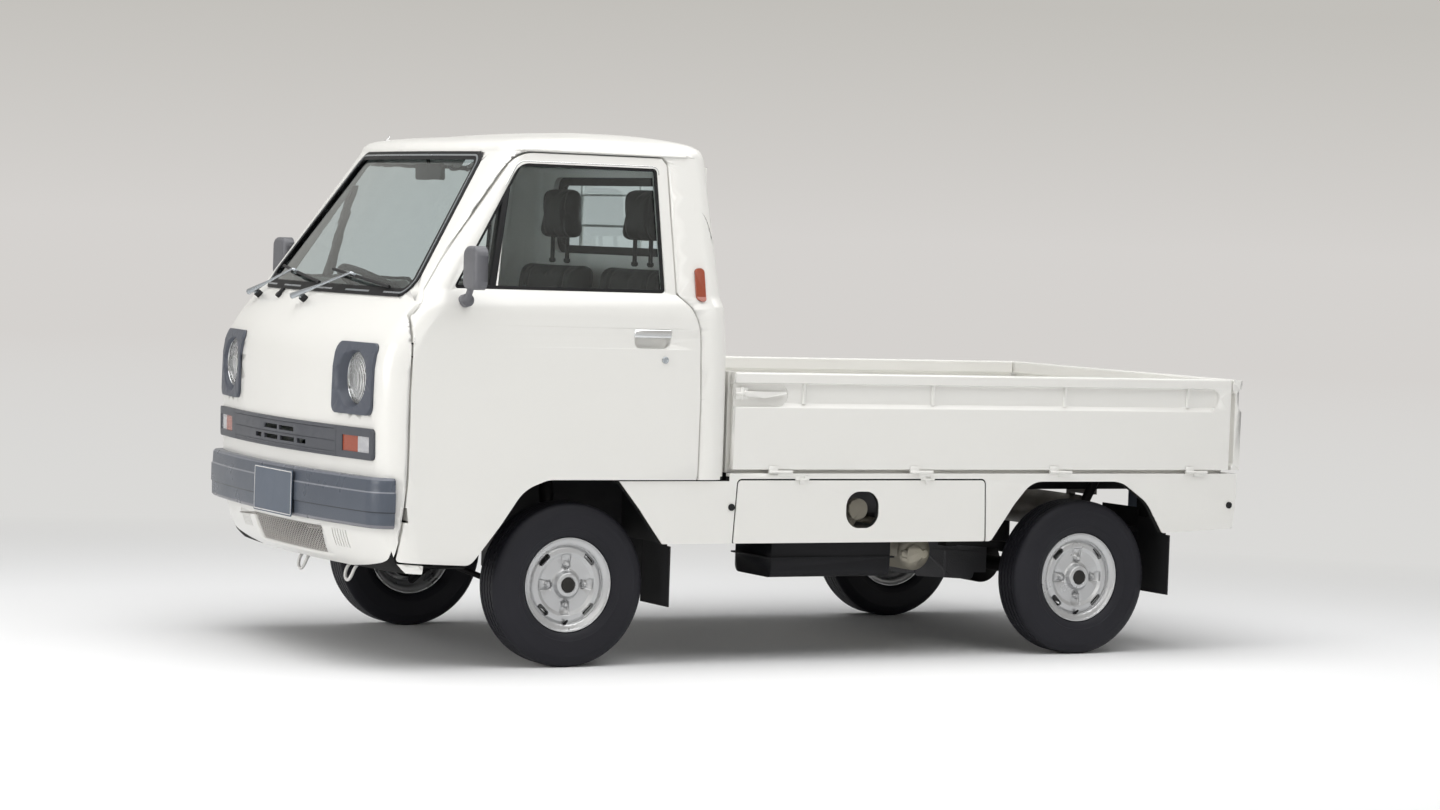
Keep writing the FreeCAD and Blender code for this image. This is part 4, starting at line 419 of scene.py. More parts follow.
finishes = {
    "body_paint": make_finish(
        "white enamel", (0.80, 0.79, 0.755), (0.79, 0.78, 0.745), 0.32, grain_scale=900.0,
        grain_depth=0.00003, drift_scale=1.2, zones=[ARCHES, NOSE_UNDERSIDE], Coat_Weight=0.5,
        Coat_Roughness=0.08),
    "inner_paint": make_finish(
        "rubber floor mat", (0.035, 0.035, 0.036), (0.05, 0.05, 0.05), 0.6, grain_scale=300.0,
        grain_depth=0.0006, Specular_IOR_Level=0.2),
    "amber_lens": make_finish(
        "signal lens", (0.33, 0.060, 0.022), (0.26, 0.045, 0.018), 0.2, grain_scale=260.0,
        grain_depth=0.0008, zones=[RED_LENSES], Coat_Weight=0.4, Coat_Roughness=0.03),
    "seal_rubber": make_finish(
        "seal rubber", (0.009, 0.009, 0.010), (0.016, 0.016, 0.017), 0.5, grain_scale=1500.0,
        grain_depth=0.0001, Specular_IOR_Level=0.2),
    "tyre_rubber": make_finish(
        "tyre rubber", (0.011, 0.011, 0.015), (0.017, 0.017, 0.022), 0.5, grain_scale=900.0,
        grain_depth=0.00025, Specular_IOR_Level=0.22),
    "wheel_paint": make_finish(
        "silver wheel lacquer", (0.50, 0.505, 0.51), (0.44, 0.445, 0.455), 0.30, metallic=0.65,
        grain_scale=1800.0, grain_depth=0.00004, Coat_Weight=0.35),
    "bezel_plastic": make_finish(
        "slate lamp frame plastic", (0.088, 0.096, 0.118), (0.078, 0.087, 0.108), 0.40,
        grain_scale=1400.0, grain_depth=0.00015, Specular_IOR_Level=0.3),
    "grille_plastic": make_finish(
        "slate grille plastic", (0.080, 0.084, 0.095), (0.070, 0.074, 0.086), 0.40, grain_scale=1400.0,
        grain_depth=0.00015, Specular_IOR_Level=0.3),
    # The bumper's zones are painted highlights and painted shade along its grooves and top edge.
    "bumper_plastic": make_finish(
        "slate bumper plastic", (0.090, 0.103, 0.128), (0.075, 0.087, 0.110), 0.30, grain_scale=1200.0,
        grain_depth=0.00015, drift_scale=1.6, zones=BUMPER_PAINTED_LIGHT, Specular_IOR_Level=0.32),
    "plate_paint": make_finish(
        "plate enamel", (0.052, 0.075, 0.115), (0.045, 0.068, 0.105), 0.35, grain_scale=700.0,
        grain_depth=0.00005, Coat_Weight=0.4),
    "trim_plastic": make_finish(
        "black moulded plastic", (0.018, 0.018, 0.019), (0.027, 0.027, 0.029), 0.48, grain_scale=1600.0,
        grain_depth=0.0002, Specular_IOR_Level=0.22),
    "mirror_plastic": make_finish(
        "grey mirror shell", (0.125, 0.126, 0.138), (0.112, 0.113, 0.124), 0.42, grain_scale=1800.0,
        grain_depth=0.00015),
    "screen_paint": make_finish(
        "dark mesh backing", (0.020, 0.019, 0.018), (0.032, 0.030, 0.028), 0.65, grain_scale=500.0,
        grain_depth=0.0004, Specular_IOR_Level=0.2),
    "wiper_steel": make_finish(
        "satin steel", (0.47, 0.50, 0.53), (0.40, 0.43, 0.46), 0.28, metallic=0.9, grain_scale=1500.0,
        grain_depth=0.00004),
    "wheel_rim_plastic": make_finish(
        "black steering wheel plastic", (0.014, 0.014, 0.015), (0.022, 0.022, 0.024), 0.42,
        grain_scale=1300.0, grain_depth=0.0003, Specular_IOR_Level=0.25),
    "seat_cloth": make_finish(
        "black seat vinyl", (0.007, 0.007, 0.008), (0.012, 0.012, 0.013), 0.42, grain_scale=620.0,
        grain_depth=0.0008, drift_scale=5.0, Specular_IOR_Level=0.15),
    "chassis_paint": make_finish(
        "chassis black", (0.007, 0.007, 0.008), (0.013, 0.012, 0.012), 0.45, grain_scale=300.0,
        grain_depth=0.0003, dust_top=0.3, dust_amount=0.03, Specular_IOR_Level=0.12),
    "tank_paint": make_finish(
        "black tank paint", (0.006, 0.006, 0.007), (0.011, 0.011, 0.013), 0.32, grain_scale=500.0,
        grain_depth=0.0002, zones=[FILLER_CAP], Specular_IOR_Level=0.15),
    "cast_metal": make_finish(
        "cast alloy", (0.58, 0.54, 0.43), (0.44, 0.41, 0.34), 0.48, metallic=0.5, grain_scale=350.0,
        grain_depth=0.0008, drift_scale=9.0),
    "engine_metal": make_finish(
        "cast iron", (0.13, 0.13, 0.14), (0.09, 0.09, 0.095), 0.55, metallic=0.5, grain_scale=250.0,
        grain_depth=0.001, dust_top=0.5, dust_amount=0.08, Specular_IOR_Level=0.2),
    "exhaust_steel": make_finish(
        "heated steel", (0.20, 0.18, 0.165), (0.29, 0.27, 0.25), 0.45, metallic=0.8, grain_scale=300.0,
        grain_depth=0.0005, drift_scale=7.0),
    "chrome": make_finish(
        "chrome", (0.74, 0.75, 0.76), (0.68, 0.69, 0.70), 0.12, metallic=1.0, grain_scale=800.0,
        grain_depth=0.00002, rough_swing=0.03),
    "silvered": make_finish(
        "silvered reflector", (0.93, 0.93, 0.93), (0.86, 0.86, 0.87), 0.34, metallic=0.15,
        grain_scale=160.0, grain_depth=0.0006),
    "mesh_metal": make_finish(
        "bright mesh", (0.62, 0.60, 0.575), (0.52, 0.50, 0.48), 0.38, metallic=0.3, grain_scale=900.0,
        grain_depth=0.0001),
    "white_fitting": make_finish(
        "white fitting enamel", (0.72, 0.71, 0.69), (0.66, 0.65, 0.63), 0.3, Coat_Weight=0.4),
}


def make_glass(name, tint, roughness=0.0, bend=1.45):
    """Sheet glass: see-through with a gloss on its face; bend is its index of refraction."""
    material = bpy.data.materials.new(name)
    material.use_nodes = True
    shader = material.node_tree.nodes["Principled BSDF"]
    shader.inputs["Roughness"].default_value = roughness
    shader.inputs["Transmission Weight"].default_value = 1.0
    shader.inputs["IOR"].default_value = bend
    tree = material.node_tree
    other = tuple(0.985 * v for v in tint)
    shade = place_group(tree, drift, Colour=tint + (1.0,), Other_Colour=other + (1.0,), Scale=1.5)
    tree.links.new(shade.outputs["Colour"], shader.inputs["Base Color"])
    return material


finishes["window_glass"] = make_glass("window glass", (0.86, 0.92, 0.92))
finishes["screen_glass"] = make_glass("windscreen glass", (0.72, 0.80, 0.82))
finishes["lamp_glass"] = make_glass("lamp glass", (0.97, 0.98, 0.98), 0.04)
print("finishes", len(finishes))

# %% [markdown]
# The headlamp's glass is pressed with upright flutes that spread its beam sideways. They could be
# modelled, but they are finer than the mesh and lie behind a glossy face, so they are bands of a
# Wave texture across the truck, fed to a Bump node.

# %% Flutes in the headlamp glass
FLUTE_SCALE = 38.0
FLUTE_DEPTH = 0.0012
fluted = finishes["lamp_glass"].copy()
fluted.name = "fluted lamp glass"
tree = fluted.node_tree
place = tree.nodes.new("ShaderNodeTexCoord")
wave = tree.nodes.new("ShaderNodeTexWave")
wave.bands_direction = "Y"
wave.inputs["Scale"].default_value = FLUTE_SCALE
bump = tree.nodes.new("ShaderNodeBump")
bump.inputs["Distance"].default_value = FLUTE_DEPTH
tree.links.new(place.outputs["Object"], wave.inputs["Vector"])
tree.links.new(wave.outputs["Fac"], bump.inputs["Height"])
tree.links.new(bump.outputs["Normal"], tree.nodes["Principled BSDF"].inputs["Normal"])
finishes["fluted_glass"] = fluted
print("fluted glass ready")

# %% [markdown]
# ## Dressing the CAD pieces
# CAD hands over triangles with flat shading. They could be left so, with only a new material, but
# rolled and pressed panels need smooth shading. So each node is copied, its loose triangles are
# merged, and the shading is smoothed wherever two faces meet at less than a set angle. Large flat
# faces then get the say over narrow ones beside them, so a fillet doesn't darken the panel it
# borders. The copy stands for the CAD node.

# %% Smooth copies of the CAD nodes
NODE_SLOT = {s["node"]: s["material_slot"] for s in frame["record"]["subparts"]}
NODE_BODY = {n: b for b, ns in frame["record"]["behaviour"]["bodies"].items() for n in ns}
REMADE = ("seats", "headrests", "tyre_front_left", "tyre_front_right", "tyre_rear_left", "tyre_rear_right")
MERGE_DISTANCE = 0.00002


def shade_by_area(piece, angle):
    """Smooth shading below an angle, led by the larger faces."""
    select_only(piece)
    bpy.ops.object.shade_smooth_by_angle(angle=math.radians(angle))
    bpy.ops.object.modifier_add(type="WEIGHTED_NORMAL")
    weighted = piece.modifiers[-1]
    weighted.keep_sharp = True
    weighted.weight = 80
    bpy.ops.object.modifier_apply(modifier=weighted.name)


def smooth_copy(node, angle=32.0):
    """A merged, smooth-shaded copy of a CAD node, riding on the same body."""
    source = frame["nodes"][node]
    piece = bpy.data.objects.new("skin_" + node, source.data.copy())
    bpy.context.scene.collection.objects.link(piece)
    select_only(piece)
    bpy.ops.object.mode_set(mode="EDIT")
    bpy.ops.mesh.select_all(action="SELECT")
    bpy.ops.mesh.remove_doubles(threshold=MERGE_DISTANCE)
    bpy.ops.object.mode_set(mode="OBJECT")
    shade_by_area(piece, angle)
    piece.data.materials.clear()
    piece.data.materials.append(finishes[NODE_SLOT[node]])
    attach(piece, NODE_BODY[node])
    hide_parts(node)
    return piece


skins = {}
for node in sorted(frame["nodes"]):
    if node not in REMADE:
        skins[node] = smooth_copy(node)
skins["cab_glass"].data.materials[0] = finishes["screen_glass"]
print("smooth copies", len(skins))


# %% [markdown]
# ## Modelling helpers
# Round pieces are drawn out ring by ring: a circle is extruded along an axis and scaled at each
# step, as a lathe's profile would be. Frames start from a plane whose corners are rounded, inset
# and emptied in the middle. What repeats is modelled once and copied, each copy with its own mesh.

# %% Placing and finishing a piece
def named_piece(name):
    """Names the piece just added and puts its place into its mesh."""
    piece = bpy.context.active_object
    piece.name = name
    bpy.ops.object.transform_apply(location=True, rotation=True, scale=True)
    return piece


def dress(piece, body, finish, angle=35.0):
    """Smooths a finished piece, gives it its material, and sets it riding."""
    select_only(piece)
    bpy.ops.object.shade_smooth_by_angle(angle=math.radians(angle))
    piece.data.materials.clear()
    piece.data.materials.append(finishes[finish])
    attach(piece, body)
    return piece


def copied(piece, name, shift=(0, 0, 0), flip=False):
    """A copy with its own mesh, moved, or mirrored to the truck's other side."""
    twin = bpy.data.objects.new(name, piece.data.copy())
    bpy.context.scene.collection.objects.link(twin)
    if flip:
        twin.data.transform(Matrix.Scale(-1.0, 4, (0, 1, 0)))
        twin.data.flip_normals()
    twin.data.transform(Matrix.Translation(shift))
    return twin


def delete_faces(piece, chosen):
    """Deletes the faces whose centre passes a test."""
    select_only(piece)
    bpy.ops.object.mode_set(mode="EDIT")
    bpy.ops.mesh.select_mode(type="FACE")
    bpy.ops.mesh.select_all(action="DESELECT")
    bpy.ops.object.mode_set(mode="OBJECT")
    for polygon in piece.data.polygons:
        polygon.select = chosen(polygon.center)
    bpy.ops.object.mode_set(mode="EDIT")
    bpy.ops.mesh.delete(type="FACE")
    bpy.ops.mesh.select_mode(type="VERT")
    bpy.ops.object.mode_set(mode="OBJECT")


print("placing helpers ready")


# %% Round pieces
def turned_piece(name, start, axis, profile, steps=48, closed=False):
    """A round piece drawn out along an axis; profile holds (distance, radius) pairs."""
    toward = Vector(axis).normalized()
    begin = Vector(start)
    along, radius = profile[0]
    bpy.ops.object.select_all(action="DESELECT")
    bpy.ops.mesh.primitive_circle_add(
        vertices=steps, radius=radius, fill_type="NOTHING" if closed else "NGON",
        location=begin + toward * along, rotation=toward.to_track_quat("Z", "Y").to_euler())
    piece = named_piece(name)
    bpy.ops.object.mode_set(mode="EDIT")
    bpy.ops.mesh.select_all(action="SELECT")
    for (from_along, from_radius), (to_along, to_radius) in zip(profile, profile[1:]):
        move = toward * (to_along - from_along)
        bpy.ops.mesh.extrude_region_move(TRANSFORM_OT_translate={"value": move})
        share = to_radius / from_radius
        bpy.ops.transform.resize(value=(share, share, share), center_override=begin + toward * to_along)
    bpy.ops.mesh.select_all(action="SELECT")
    bpy.ops.mesh.remove_doubles(threshold=0.000002)
    bpy.ops.mesh.normals_make_consistent(inside=False)
    bpy.ops.object.mode_set(mode="OBJECT")
    return piece


print("lathe helper ready")


# %% Frames and rounded blocks
ROUND_A_PLANE = (0, 1, 3, 2)


def frame_ring(name, corners, corner_radius, width, depth):
    """A flat frame inside four corners, given a rounded section; depth is a vector."""
    bpy.ops.object.select_all(action="DESELECT")
    bpy.ops.mesh.primitive_plane_add(size=1.0)
    piece = named_piece(name)
    for vertex, corner in zip(ROUND_A_PLANE, corners):
        piece.data.vertices[vertex].co = corner
    bpy.ops.object.mode_set(mode="EDIT")
    bpy.ops.mesh.select_all(action="SELECT")
    bpy.ops.mesh.bevel(offset=corner_radius, segments=8, affect="VERTICES", offset_type="OFFSET")
    bpy.ops.mesh.select_all(action="SELECT")
    bpy.ops.mesh.inset(thickness=width)
    bpy.ops.mesh.delete(type="FACE")
    bpy.ops.mesh.select_all(action="SELECT")
    bpy.ops.mesh.extrude_region_move(TRANSFORM_OT_translate={"value": depth})
    bpy.ops.mesh.select_all(action="SELECT")
    bpy.ops.mesh.normals_make_consistent(inside=False)
    bpy.ops.object.mode_set(mode="OBJECT")
    round_edges(piece, min(width, Vector(depth).length) * 0.3)
    return piece


def round_edges(piece, radius, segments=3):
    """Rounds the sharp edges with a bevel modifier."""
    select_only(piece)
    bpy.ops.object.modifier_add(type="BEVEL")
    bevel = piece.modifiers[-1]
    bevel.width = radius
    bevel.segments = segments
    bevel.limit_method = "ANGLE"
    bevel.angle_limit = math.radians(40.0)
    bpy.ops.object.modifier_apply(modifier=bevel.name)


def rounded_block(name, low, high, radius, segments=3):
    """A block between two corners with rounded edges."""
    low, high = Vector(low), Vector(high)
    bpy.ops.object.select_all(action="DESELECT")
    bpy.ops.mesh.primitive_cube_add(size=1.0, location=(low + high) / 2.0, scale=high - low)
    piece = named_piece(name)
    round_edges(piece, radius, segments)
    return piece


print("frame and block helpers ready")

# %% [markdown]
# ## Tyres
# The real tyre is a cross-ply of one rubber: smooth walls with a raised ring, a notched shoulder,
# and five ribs parted by four zigzag grooves. It could be sculpted block by block. Here the whole
# section is drawn round as on a lathe, and every second step is then pushed sideways in the
# grooves and inwards at the shoulder, which gives the zigzag and the notches from few faces.

# %% One tyre
TYRE_STEPS = 144
ZIGZAG = 0.0016
NOTCH = 0.0022
GROOVE_CENTRES = (0.0096, 0.0290)
GROOVE_REACH = 0.0035
GROOVE_FLOOR = 0.2455
SHOULDER = (0.0530, 0.0600)
SHOULDER_FOOT = 0.2365
# Half of the section in millimetres: distance from the tyre's middle, then radius.
tyre_half = [
    (39.6, 127.0), (41.0, 136.0), (42.1, 144.9), (46.0, 146.4), (51.5, 148.2), (56.5, 155.0), (60.0, 164.0),
    (61.8, 170.0), (63.0, 171.0), (63.6, 174.0), (63.4, 177.0), (64.4, 186.0), (65.0, 196.0), (64.7, 207.0),
    (63.9, 216.0), (64.3, 218.0), (63.7, 221.0), (62.4, 226.0), (60.9, 232.0), (59.6, 237.0), (57.2, 243.0),
    (53.6, 247.6), (49.0, 250.4), (44.0, 251.8), (38.0, 252.0), (31.8, 252.0), (30.7, 246.0), (27.3, 246.0),
    (26.2, 252.0), (19.0, 252.0), (12.4, 252.0), (11.3, 246.0), (7.9, 246.0), (6.8, 252.0),
]
tyre_profile = [(y / 1000.0, r / 1000.0) for y, r in tyre_half]
tyre_profile += [(-y, r) for y, r in reversed(tyre_profile)]
tyre_profile.append(tyre_profile[0])
tyre = turned_piece("tyre_model", (0, 0, 0), (0, 1, 0), tyre_profile, TYRE_STEPS, closed=True)
for vertex in tyre.data.vertices:
    across = abs(vertex.co.y)
    radius = math.hypot(vertex.co.x, vertex.co.z)
    step = round(math.atan2(vertex.co.z, vertex.co.x) / (2.0 * math.pi) * TYRE_STEPS)
    if radius > GROOVE_FLOOR and any(abs(across - centre) < GROOVE_REACH for centre in GROOVE_CENTRES):
        vertex.co.y += ZIGZAG if step % 2 else -ZIGZAG
    if step % 2 and SHOULDER[0] < across < SHOULDER[1] and radius > SHOULDER_FOOT:
        vertex.co.x *= (radius - NOTCH) / radius
        vertex.co.z *= (radius - NOTCH) / radius
print("tyre faces", len(tyre.data.polygons))

# %% [markdown]
# The tyre is copied to the four wheels. Each wheel also gets a blank dark disc in its hub cap and a
# rubber valve. They could be cylinders, but both have stepped profiles, so they are turned too.

# %% Four wheels
HUB_FACE = 0.0500
hub_disc = turned_piece("hub_disc_model", (0, HUB_FACE + 0.0002, 0), (0, 1, 0),
                        [(0.0, 0.0225), (0.0022, 0.0225), (0.0030, 0.0212), (0.0034, 0.0100)], 40)
valve_profile = [(0.0, 0.0065), (0.004, 0.0062), (0.010, 0.0042), (0.020, 0.0038), (0.026, 0.0032)]
valve = turned_piece("valve_model", (0.0, 0.030, -0.124), (0.0, 0.82, 0.57), valve_profile, 20)
FRONT_AXLE_X = 0.868
REAR_AXLE_X = -0.997
AXLE_Z = 0.252
HALF_TRACK = 0.596
WHEELS = (
    ("front_left", FRONT_AXLE_X, 1), ("front_right", FRONT_AXLE_X, -1),
    ("rear_left", REAR_AXLE_X, 1), ("rear_right", REAR_AXLE_X, -1),
)
for corner, axle_x, side in WHEELS:
    place = (axle_x, side * HALF_TRACK, AXLE_Z)
    body = NODE_BODY["tyre_" + corner]
    rubber = dress(copied(tyre, "tread_" + corner, place), body, "tyre_rubber", 28.0)
    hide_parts("tyre_" + corner)
    dress(copied(hub_disc, "hub_disc_" + corner, place, side < 0), body, "screen_paint")
    dress(copied(valve, "valve_" + corner, place, side < 0), body, "seal_rubber")
for model in (tyre, hub_disc, valve):
    bpy.data.objects.remove(model)
print("wheels dressed", len(WHEELS))

# %% [markdown]
# ## Headlamps
# A sealed lamp is a silvered bowl with a bulb at its focus, closed by a domed, fluted glass that a
# chrome ring holds in the frame. The bowl and glass could be one solid lens, but then light would
# bend as through a paperweight, so each is its own thin shell.

# %% Bowls, bulbs, glasses and rings
# Profiles hold (distance forwards of the lamp's front edge, radius) in metres.
SIDES = (("left", 1), ("right", -1))
LAMP_Y = 0.501
LAMP_Z = 0.868
LAMP_DEPTH = 0.058
lamp_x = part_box("headlamps")[0][0] + LAMP_DEPTH
bowl_profile = [(-0.0575, 0.008), (-0.0575, 0.034), (-0.030, 0.0575), (-0.0015, 0.0775), (-0.0015, 0.0745),
                (-0.010, 0.0710), (-0.024, 0.0610), (-0.036, 0.0480), (-0.045, 0.0330), (-0.050, 0.0180),
                (-0.0515, 0.0060)]
bulb_profile = [(-0.0512, 0.0040), (-0.0512, 0.0085), (-0.040, 0.0085), (-0.038, 0.0100), (-0.030, 0.0110),
                (-0.024, 0.0090), (-0.0215, 0.0040)]
DOME_R = 0.1885
DOME_RISE = 0.016
GLASS_WALL = 0.0028


def dome(radius, behind=0.0):
    """How far the lamp glass stands out at a radius."""
    return math.sqrt(DOME_R ** 2 - radius ** 2) - DOME_R + DOME_RISE - behind


glass_profile = [(dome(r, GLASS_WALL), r) for r in (0.003, 0.020, 0.040, 0.056, 0.068, 0.0725)]
glass_profile += [(-0.0012, 0.0735), (-0.0012, 0.0755), (0.0006, 0.0760)]
glass_profile += [(dome(r), r) for r in (0.0735, 0.068, 0.056, 0.040, 0.020, 0.003)]
ring_profile = [(-0.0005, 0.0762), (0.0030, 0.0758), (0.0052, 0.0768), (0.0052, 0.0778), (0.0030, 0.0785),
                (-0.0005, 0.0785), (-0.0005, 0.0762)]
for label, side in SIDES:
    centre = (lamp_x, side * LAMP_Y, LAMP_Z)
    bowl = turned_piece("lamp_bowl_" + label, centre, (1, 0, 0), bowl_profile, 64)
    dress(bowl, "truck", "silvered", 50.0)
    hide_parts("headlamps")
    bulb = turned_piece("lamp_bulb_" + label, centre, (1, 0, 0), bulb_profile, 24)
    dress(bulb, "truck", "white_fitting")
    glass = turned_piece("lamp_lens_" + label, centre, (1, 0, 0), glass_profile, 64)
    dress(glass, "truck", "fluted_glass", 40.0)
    ring = turned_piece("lamp_ring_" + label, centre, (1, 0, 0), ring_profile, 64, closed=True)
    dress(ring, "truck", "chrome", 40.0)
print("lamp centre x", round(lamp_x, 4))

# %% [markdown]
# The same CAD node also holds the clear halves of the front indicators. They could be modelled
# again, but their shape is right already, so the smooth copy keeps only them: the lamps' own faces,
# higher up the nose, are selected by height and deleted.

# %% Clear indicator halves
INDICATOR_TOP = 0.72
clears = skins["headlamps"]
clears.name = "clear_indicators"
delete_faces(clears, lambda centre: centre.z > INDICATOR_TOP)
clears.data.materials.clear()
finishes["clear_lens"] = make_finish(
    "clear signal lens", (0.50, 0.50, 0.51), (0.40, 0.40, 0.42), 0.15, grain_scale=240.0,
    grain_depth=0.0012, drift_scale=30.0, Coat_Weight=1.0, Coat_Roughness=0.03)
clears.data.materials.append(finishes["clear_lens"])
print("clear lens faces", len(clears.data.polygons))

# %% [markdown]
# ## The apron's mesh
# The air intake under the bumper is covered by expanded metal: a sheet slit and pulled into
# diamonds. A grid turned by an eighth of a turn gives the diamonds, bisect cuts it to the opening,
# Shrinkwrap lays it on the curved backing in the CAD, and Wireframe turns its edges to wire.

# %% Laying a piece back onto the cab
def lay_back(piece, target, proud):
    """Projects a piece that stands in front of the cab straight back onto a target."""
    select_only(piece)
    bpy.ops.object.modifier_add(type="SHRINKWRAP")
    wrap = piece.modifiers[-1]
    wrap.target = target
    wrap.wrap_method = "PROJECT"
    wrap.use_project_x = True
    wrap.use_negative_direction = True
    wrap.use_positive_direction = False
    wrap.offset = proud
    bpy.ops.object.modifier_apply(modifier=wrap.name)


print("lay_back ready")

# %% Expanded metal
DIAMOND_WIDE = 0.0190
DIAMOND_TALL = 0.0125
DIAMONDS = 60
MESH_CORNERS = ((-0.262, 0.3245), (0.262, 0.3245), (0.280, 0.4035), (-0.280, 0.4035))
MESH_Z = 0.364
BEFORE_APRON_X = 1.58
WIRE = 0.0042
bpy.ops.object.select_all(action="DESELECT")
bpy.ops.mesh.primitive_grid_add(
    x_subdivisions=DIAMONDS, y_subdivisions=DIAMONDS, size=DIAMONDS * math.sqrt(0.5),
    location=(0, 0, 0), rotation=(0, 0, math.radians(45.0)))
lattice = named_piece("apron_mesh")
for vertex in lattice.data.vertices:
    vertex.co = (BEFORE_APRON_X, vertex.co.x * DIAMOND_WIDE, MESH_Z + vertex.co.y * DIAMOND_TALL)
for (y0, z0), (y1, z1) in zip(MESH_CORNERS, MESH_CORNERS[1:] + MESH_CORNERS[:1]):
    outward = (0.0, z1 - z0, y0 - y1)
    bpy.ops.object.mode_set(mode="EDIT")
    bpy.ops.mesh.select_all(action="SELECT")
    bpy.ops.mesh.bisect(plane_co=(BEFORE_APRON_X, y0, z0), plane_no=outward, clear_outer=True)
    bpy.ops.object.mode_set(mode="OBJECT")
lay_back(lattice, skins["apron_screen"], 0.0016)
bpy.ops.object.modifier_add(type="WIREFRAME")
wires = lattice.modifiers[-1]
wires.thickness = WIRE
wires.use_even_offset = False
bpy.ops.object.modifier_apply(modifier=wires.name)
dress(lattice, "truck", "mesh_metal", 60.0)
print("mesh faces", len(lattice.data.polygons), "x", round(min(v.co.x for v in lattice.data.vertices), 4))

# %% [markdown]
# ## The windscreen's bright strip
# A grey lip runs round the middle of the windscreen's rubber. A bevelled curve could follow it, but
# the rubber bends both ways, and a curve would dip in and out of it. So the lip starts as a flat
# frame in front of the cab, is divided, is projected back onto the rubber by Shrinkwrap, and is
# given its thickness by Solidify.

# %% The strip on the windscreen rubber
SCREEN_CORNERS = ((-0.5817, 1.1235), (0.5817, 1.1235), (0.4530, 1.5525), (-0.4530, 1.5525))
CORNER_R = 0.045
CORNER_STEPS = 10
LIP_WIDTH = 0.005
LIP_WALL = 0.0016
BEFORE_SCREEN_X = 1.62


def rounded_outline(corners, radius, steps):
    """Points round a four-sided outline, anticlockwise, with an arc at each corner."""
    points = []
    for number, corner in enumerate(corners):
        here = Vector(corner)
        back = (Vector(corners[number - 1]) - here).normalized()
        onward = (Vector(corners[(number + 1) % 4]) - here).normalized()
        half = math.acos(back.dot(onward)) / 2.0
        middle = here + (back + onward).normalized() * radius / math.sin(half)
        sweep = math.pi - 2.0 * half
        first = here + back * radius / math.tan(half) - middle
        start = math.atan2(first.y, first.x)
        for step in range(steps + 1):
            angle = start + sweep * step / steps
            points.append((middle.x + radius * math.cos(angle), middle.y + radius * math.sin(angle)))
    return points


outline = rounded_outline(SCREEN_CORNERS, CORNER_R, CORNER_STEPS)
bpy.ops.object.select_all(action="DESELECT")
bpy.ops.mesh.primitive_circle_add(vertices=len(outline), radius=1.0, fill_type="NGON")
lip = named_piece("windscreen_strip")
for vertex, (y, z) in zip(lip.data.vertices, outline):
    vertex.co = (BEFORE_SCREEN_X, y, z)
bpy.ops.object.mode_set(mode="EDIT")
bpy.ops.mesh.select_all(action="SELECT")
bpy.ops.mesh.inset(thickness=LIP_WIDTH)
bpy.ops.mesh.delete(type="FACE")
bpy.ops.mesh.select_all(action="SELECT")
bpy.ops.mesh.subdivide(number_cuts=3)
bpy.ops.object.mode_set(mode="OBJECT")
lay_back(lip, skins["glass_seals"], 0.0010)
bpy.ops.object.modifier_add(type="SOLIDIFY")
wall = lip.modifiers[-1]
wall.thickness = LIP_WALL
wall.offset = 0.0
bpy.ops.object.modifier_apply(modifier=wall.name)
dress(lip, "truck", "wiper_steel", 50.0)
reach = [vertex.co.x for vertex in lip.data.vertices]
print("strip x", round(min(reach), 3), round(max(reach), 3))

# %% [markdown]
# ## Window frames
# Each side window sits in a black rubber channel with a thin bright strip round it. The frames could
# be offset from the glass's own edge, but CAD's triangles make a ragged edge loop. So both are flat
# frames inside the window's four corners, laid on the glass's tilted plane, which is measured first.

# %% The side glass's plane
NEAR_SILL = 1.17
NEAR_TOP = 1.50


class GlassPlane:
    """The outer face of one door's window, measured on the CAD glass."""

    def __init__(self, label, side):
        pane = frame["nodes"]["door_glass_" + label].data.vertices
        self.side = side
        self.low_z = min(v.co.z for v in pane)
        self.low_y = max(side * v.co.y for v in pane if v.co.z < NEAR_SILL)
        high_y = max(side * v.co.y for v in pane if v.co.z > NEAR_TOP)
        self.tilt = (high_y - self.low_y) / (max(v.co.z for v in pane) - self.low_z)
        self.outward = Vector((0.0, side, -side * self.tilt)).normalized()

    def reach(self, z):
        """How far out the glass stands at a height."""
        return self.low_y + self.tilt * (z - self.low_z)

    def place(self, x, z, proud):
        """A point on the glass's outer face, stood off it."""
        return Vector((x, self.side * self.reach(z), z)) + self.outward * proud


planes = {label: GlassPlane(label, side) for label, side in SIDES}
for label, plane in planes.items():
    print("glass", label, round(plane.low_y, 4), "tilt", round(plane.tilt, 3))

# %% Side window frames
# Each corner has its x and z, and how far these move as the frame grows by one.
GLASS_CORNERS = (
    (0.577, 1.147, -1.0, -1.0), (0.582, 1.529, -1.0, 1.0),
    (1.048, 1.529, 0.6, 1.0), (1.290, 1.147, 1.6, -1.0),
)


def grown_corners(plane, amount, proud):
    """The window's corners, moved outwards by an amount and stood off the glass."""
    return [plane.place(x + dx * amount, z + dz * amount, proud) for x, z, dx, dz in GLASS_CORNERS]


for label, side in SIDES:
    plane = planes[label]
    body = NODE_BODY["door_glass_" + label]
    gasket = frame_ring("window_gasket_" + label, grown_corners(plane, 0.001, 0.001),
                        corner_radius=0.016, width=0.011, depth=plane.outward * 0.005)
    dress(gasket, body, "seal_rubber")
    strip = frame_ring("window_strip_" + label, grown_corners(plane, 0.0065, 0.005),
                       corner_radius=0.022, width=0.0045, depth=plane.outward * 0.0035)
    dress(strip, body, "chrome")
print("window frames ready")

# %% [markdown]
# The bar that parts the quarter light from the main window is black and leans back. It could be a
# frame of its own round the small pane, but only its bar shows. So it is a rounded block, with its
# corners set on the glass's plane, over the CAD's own bar, and ends where it meets the slanting edge.

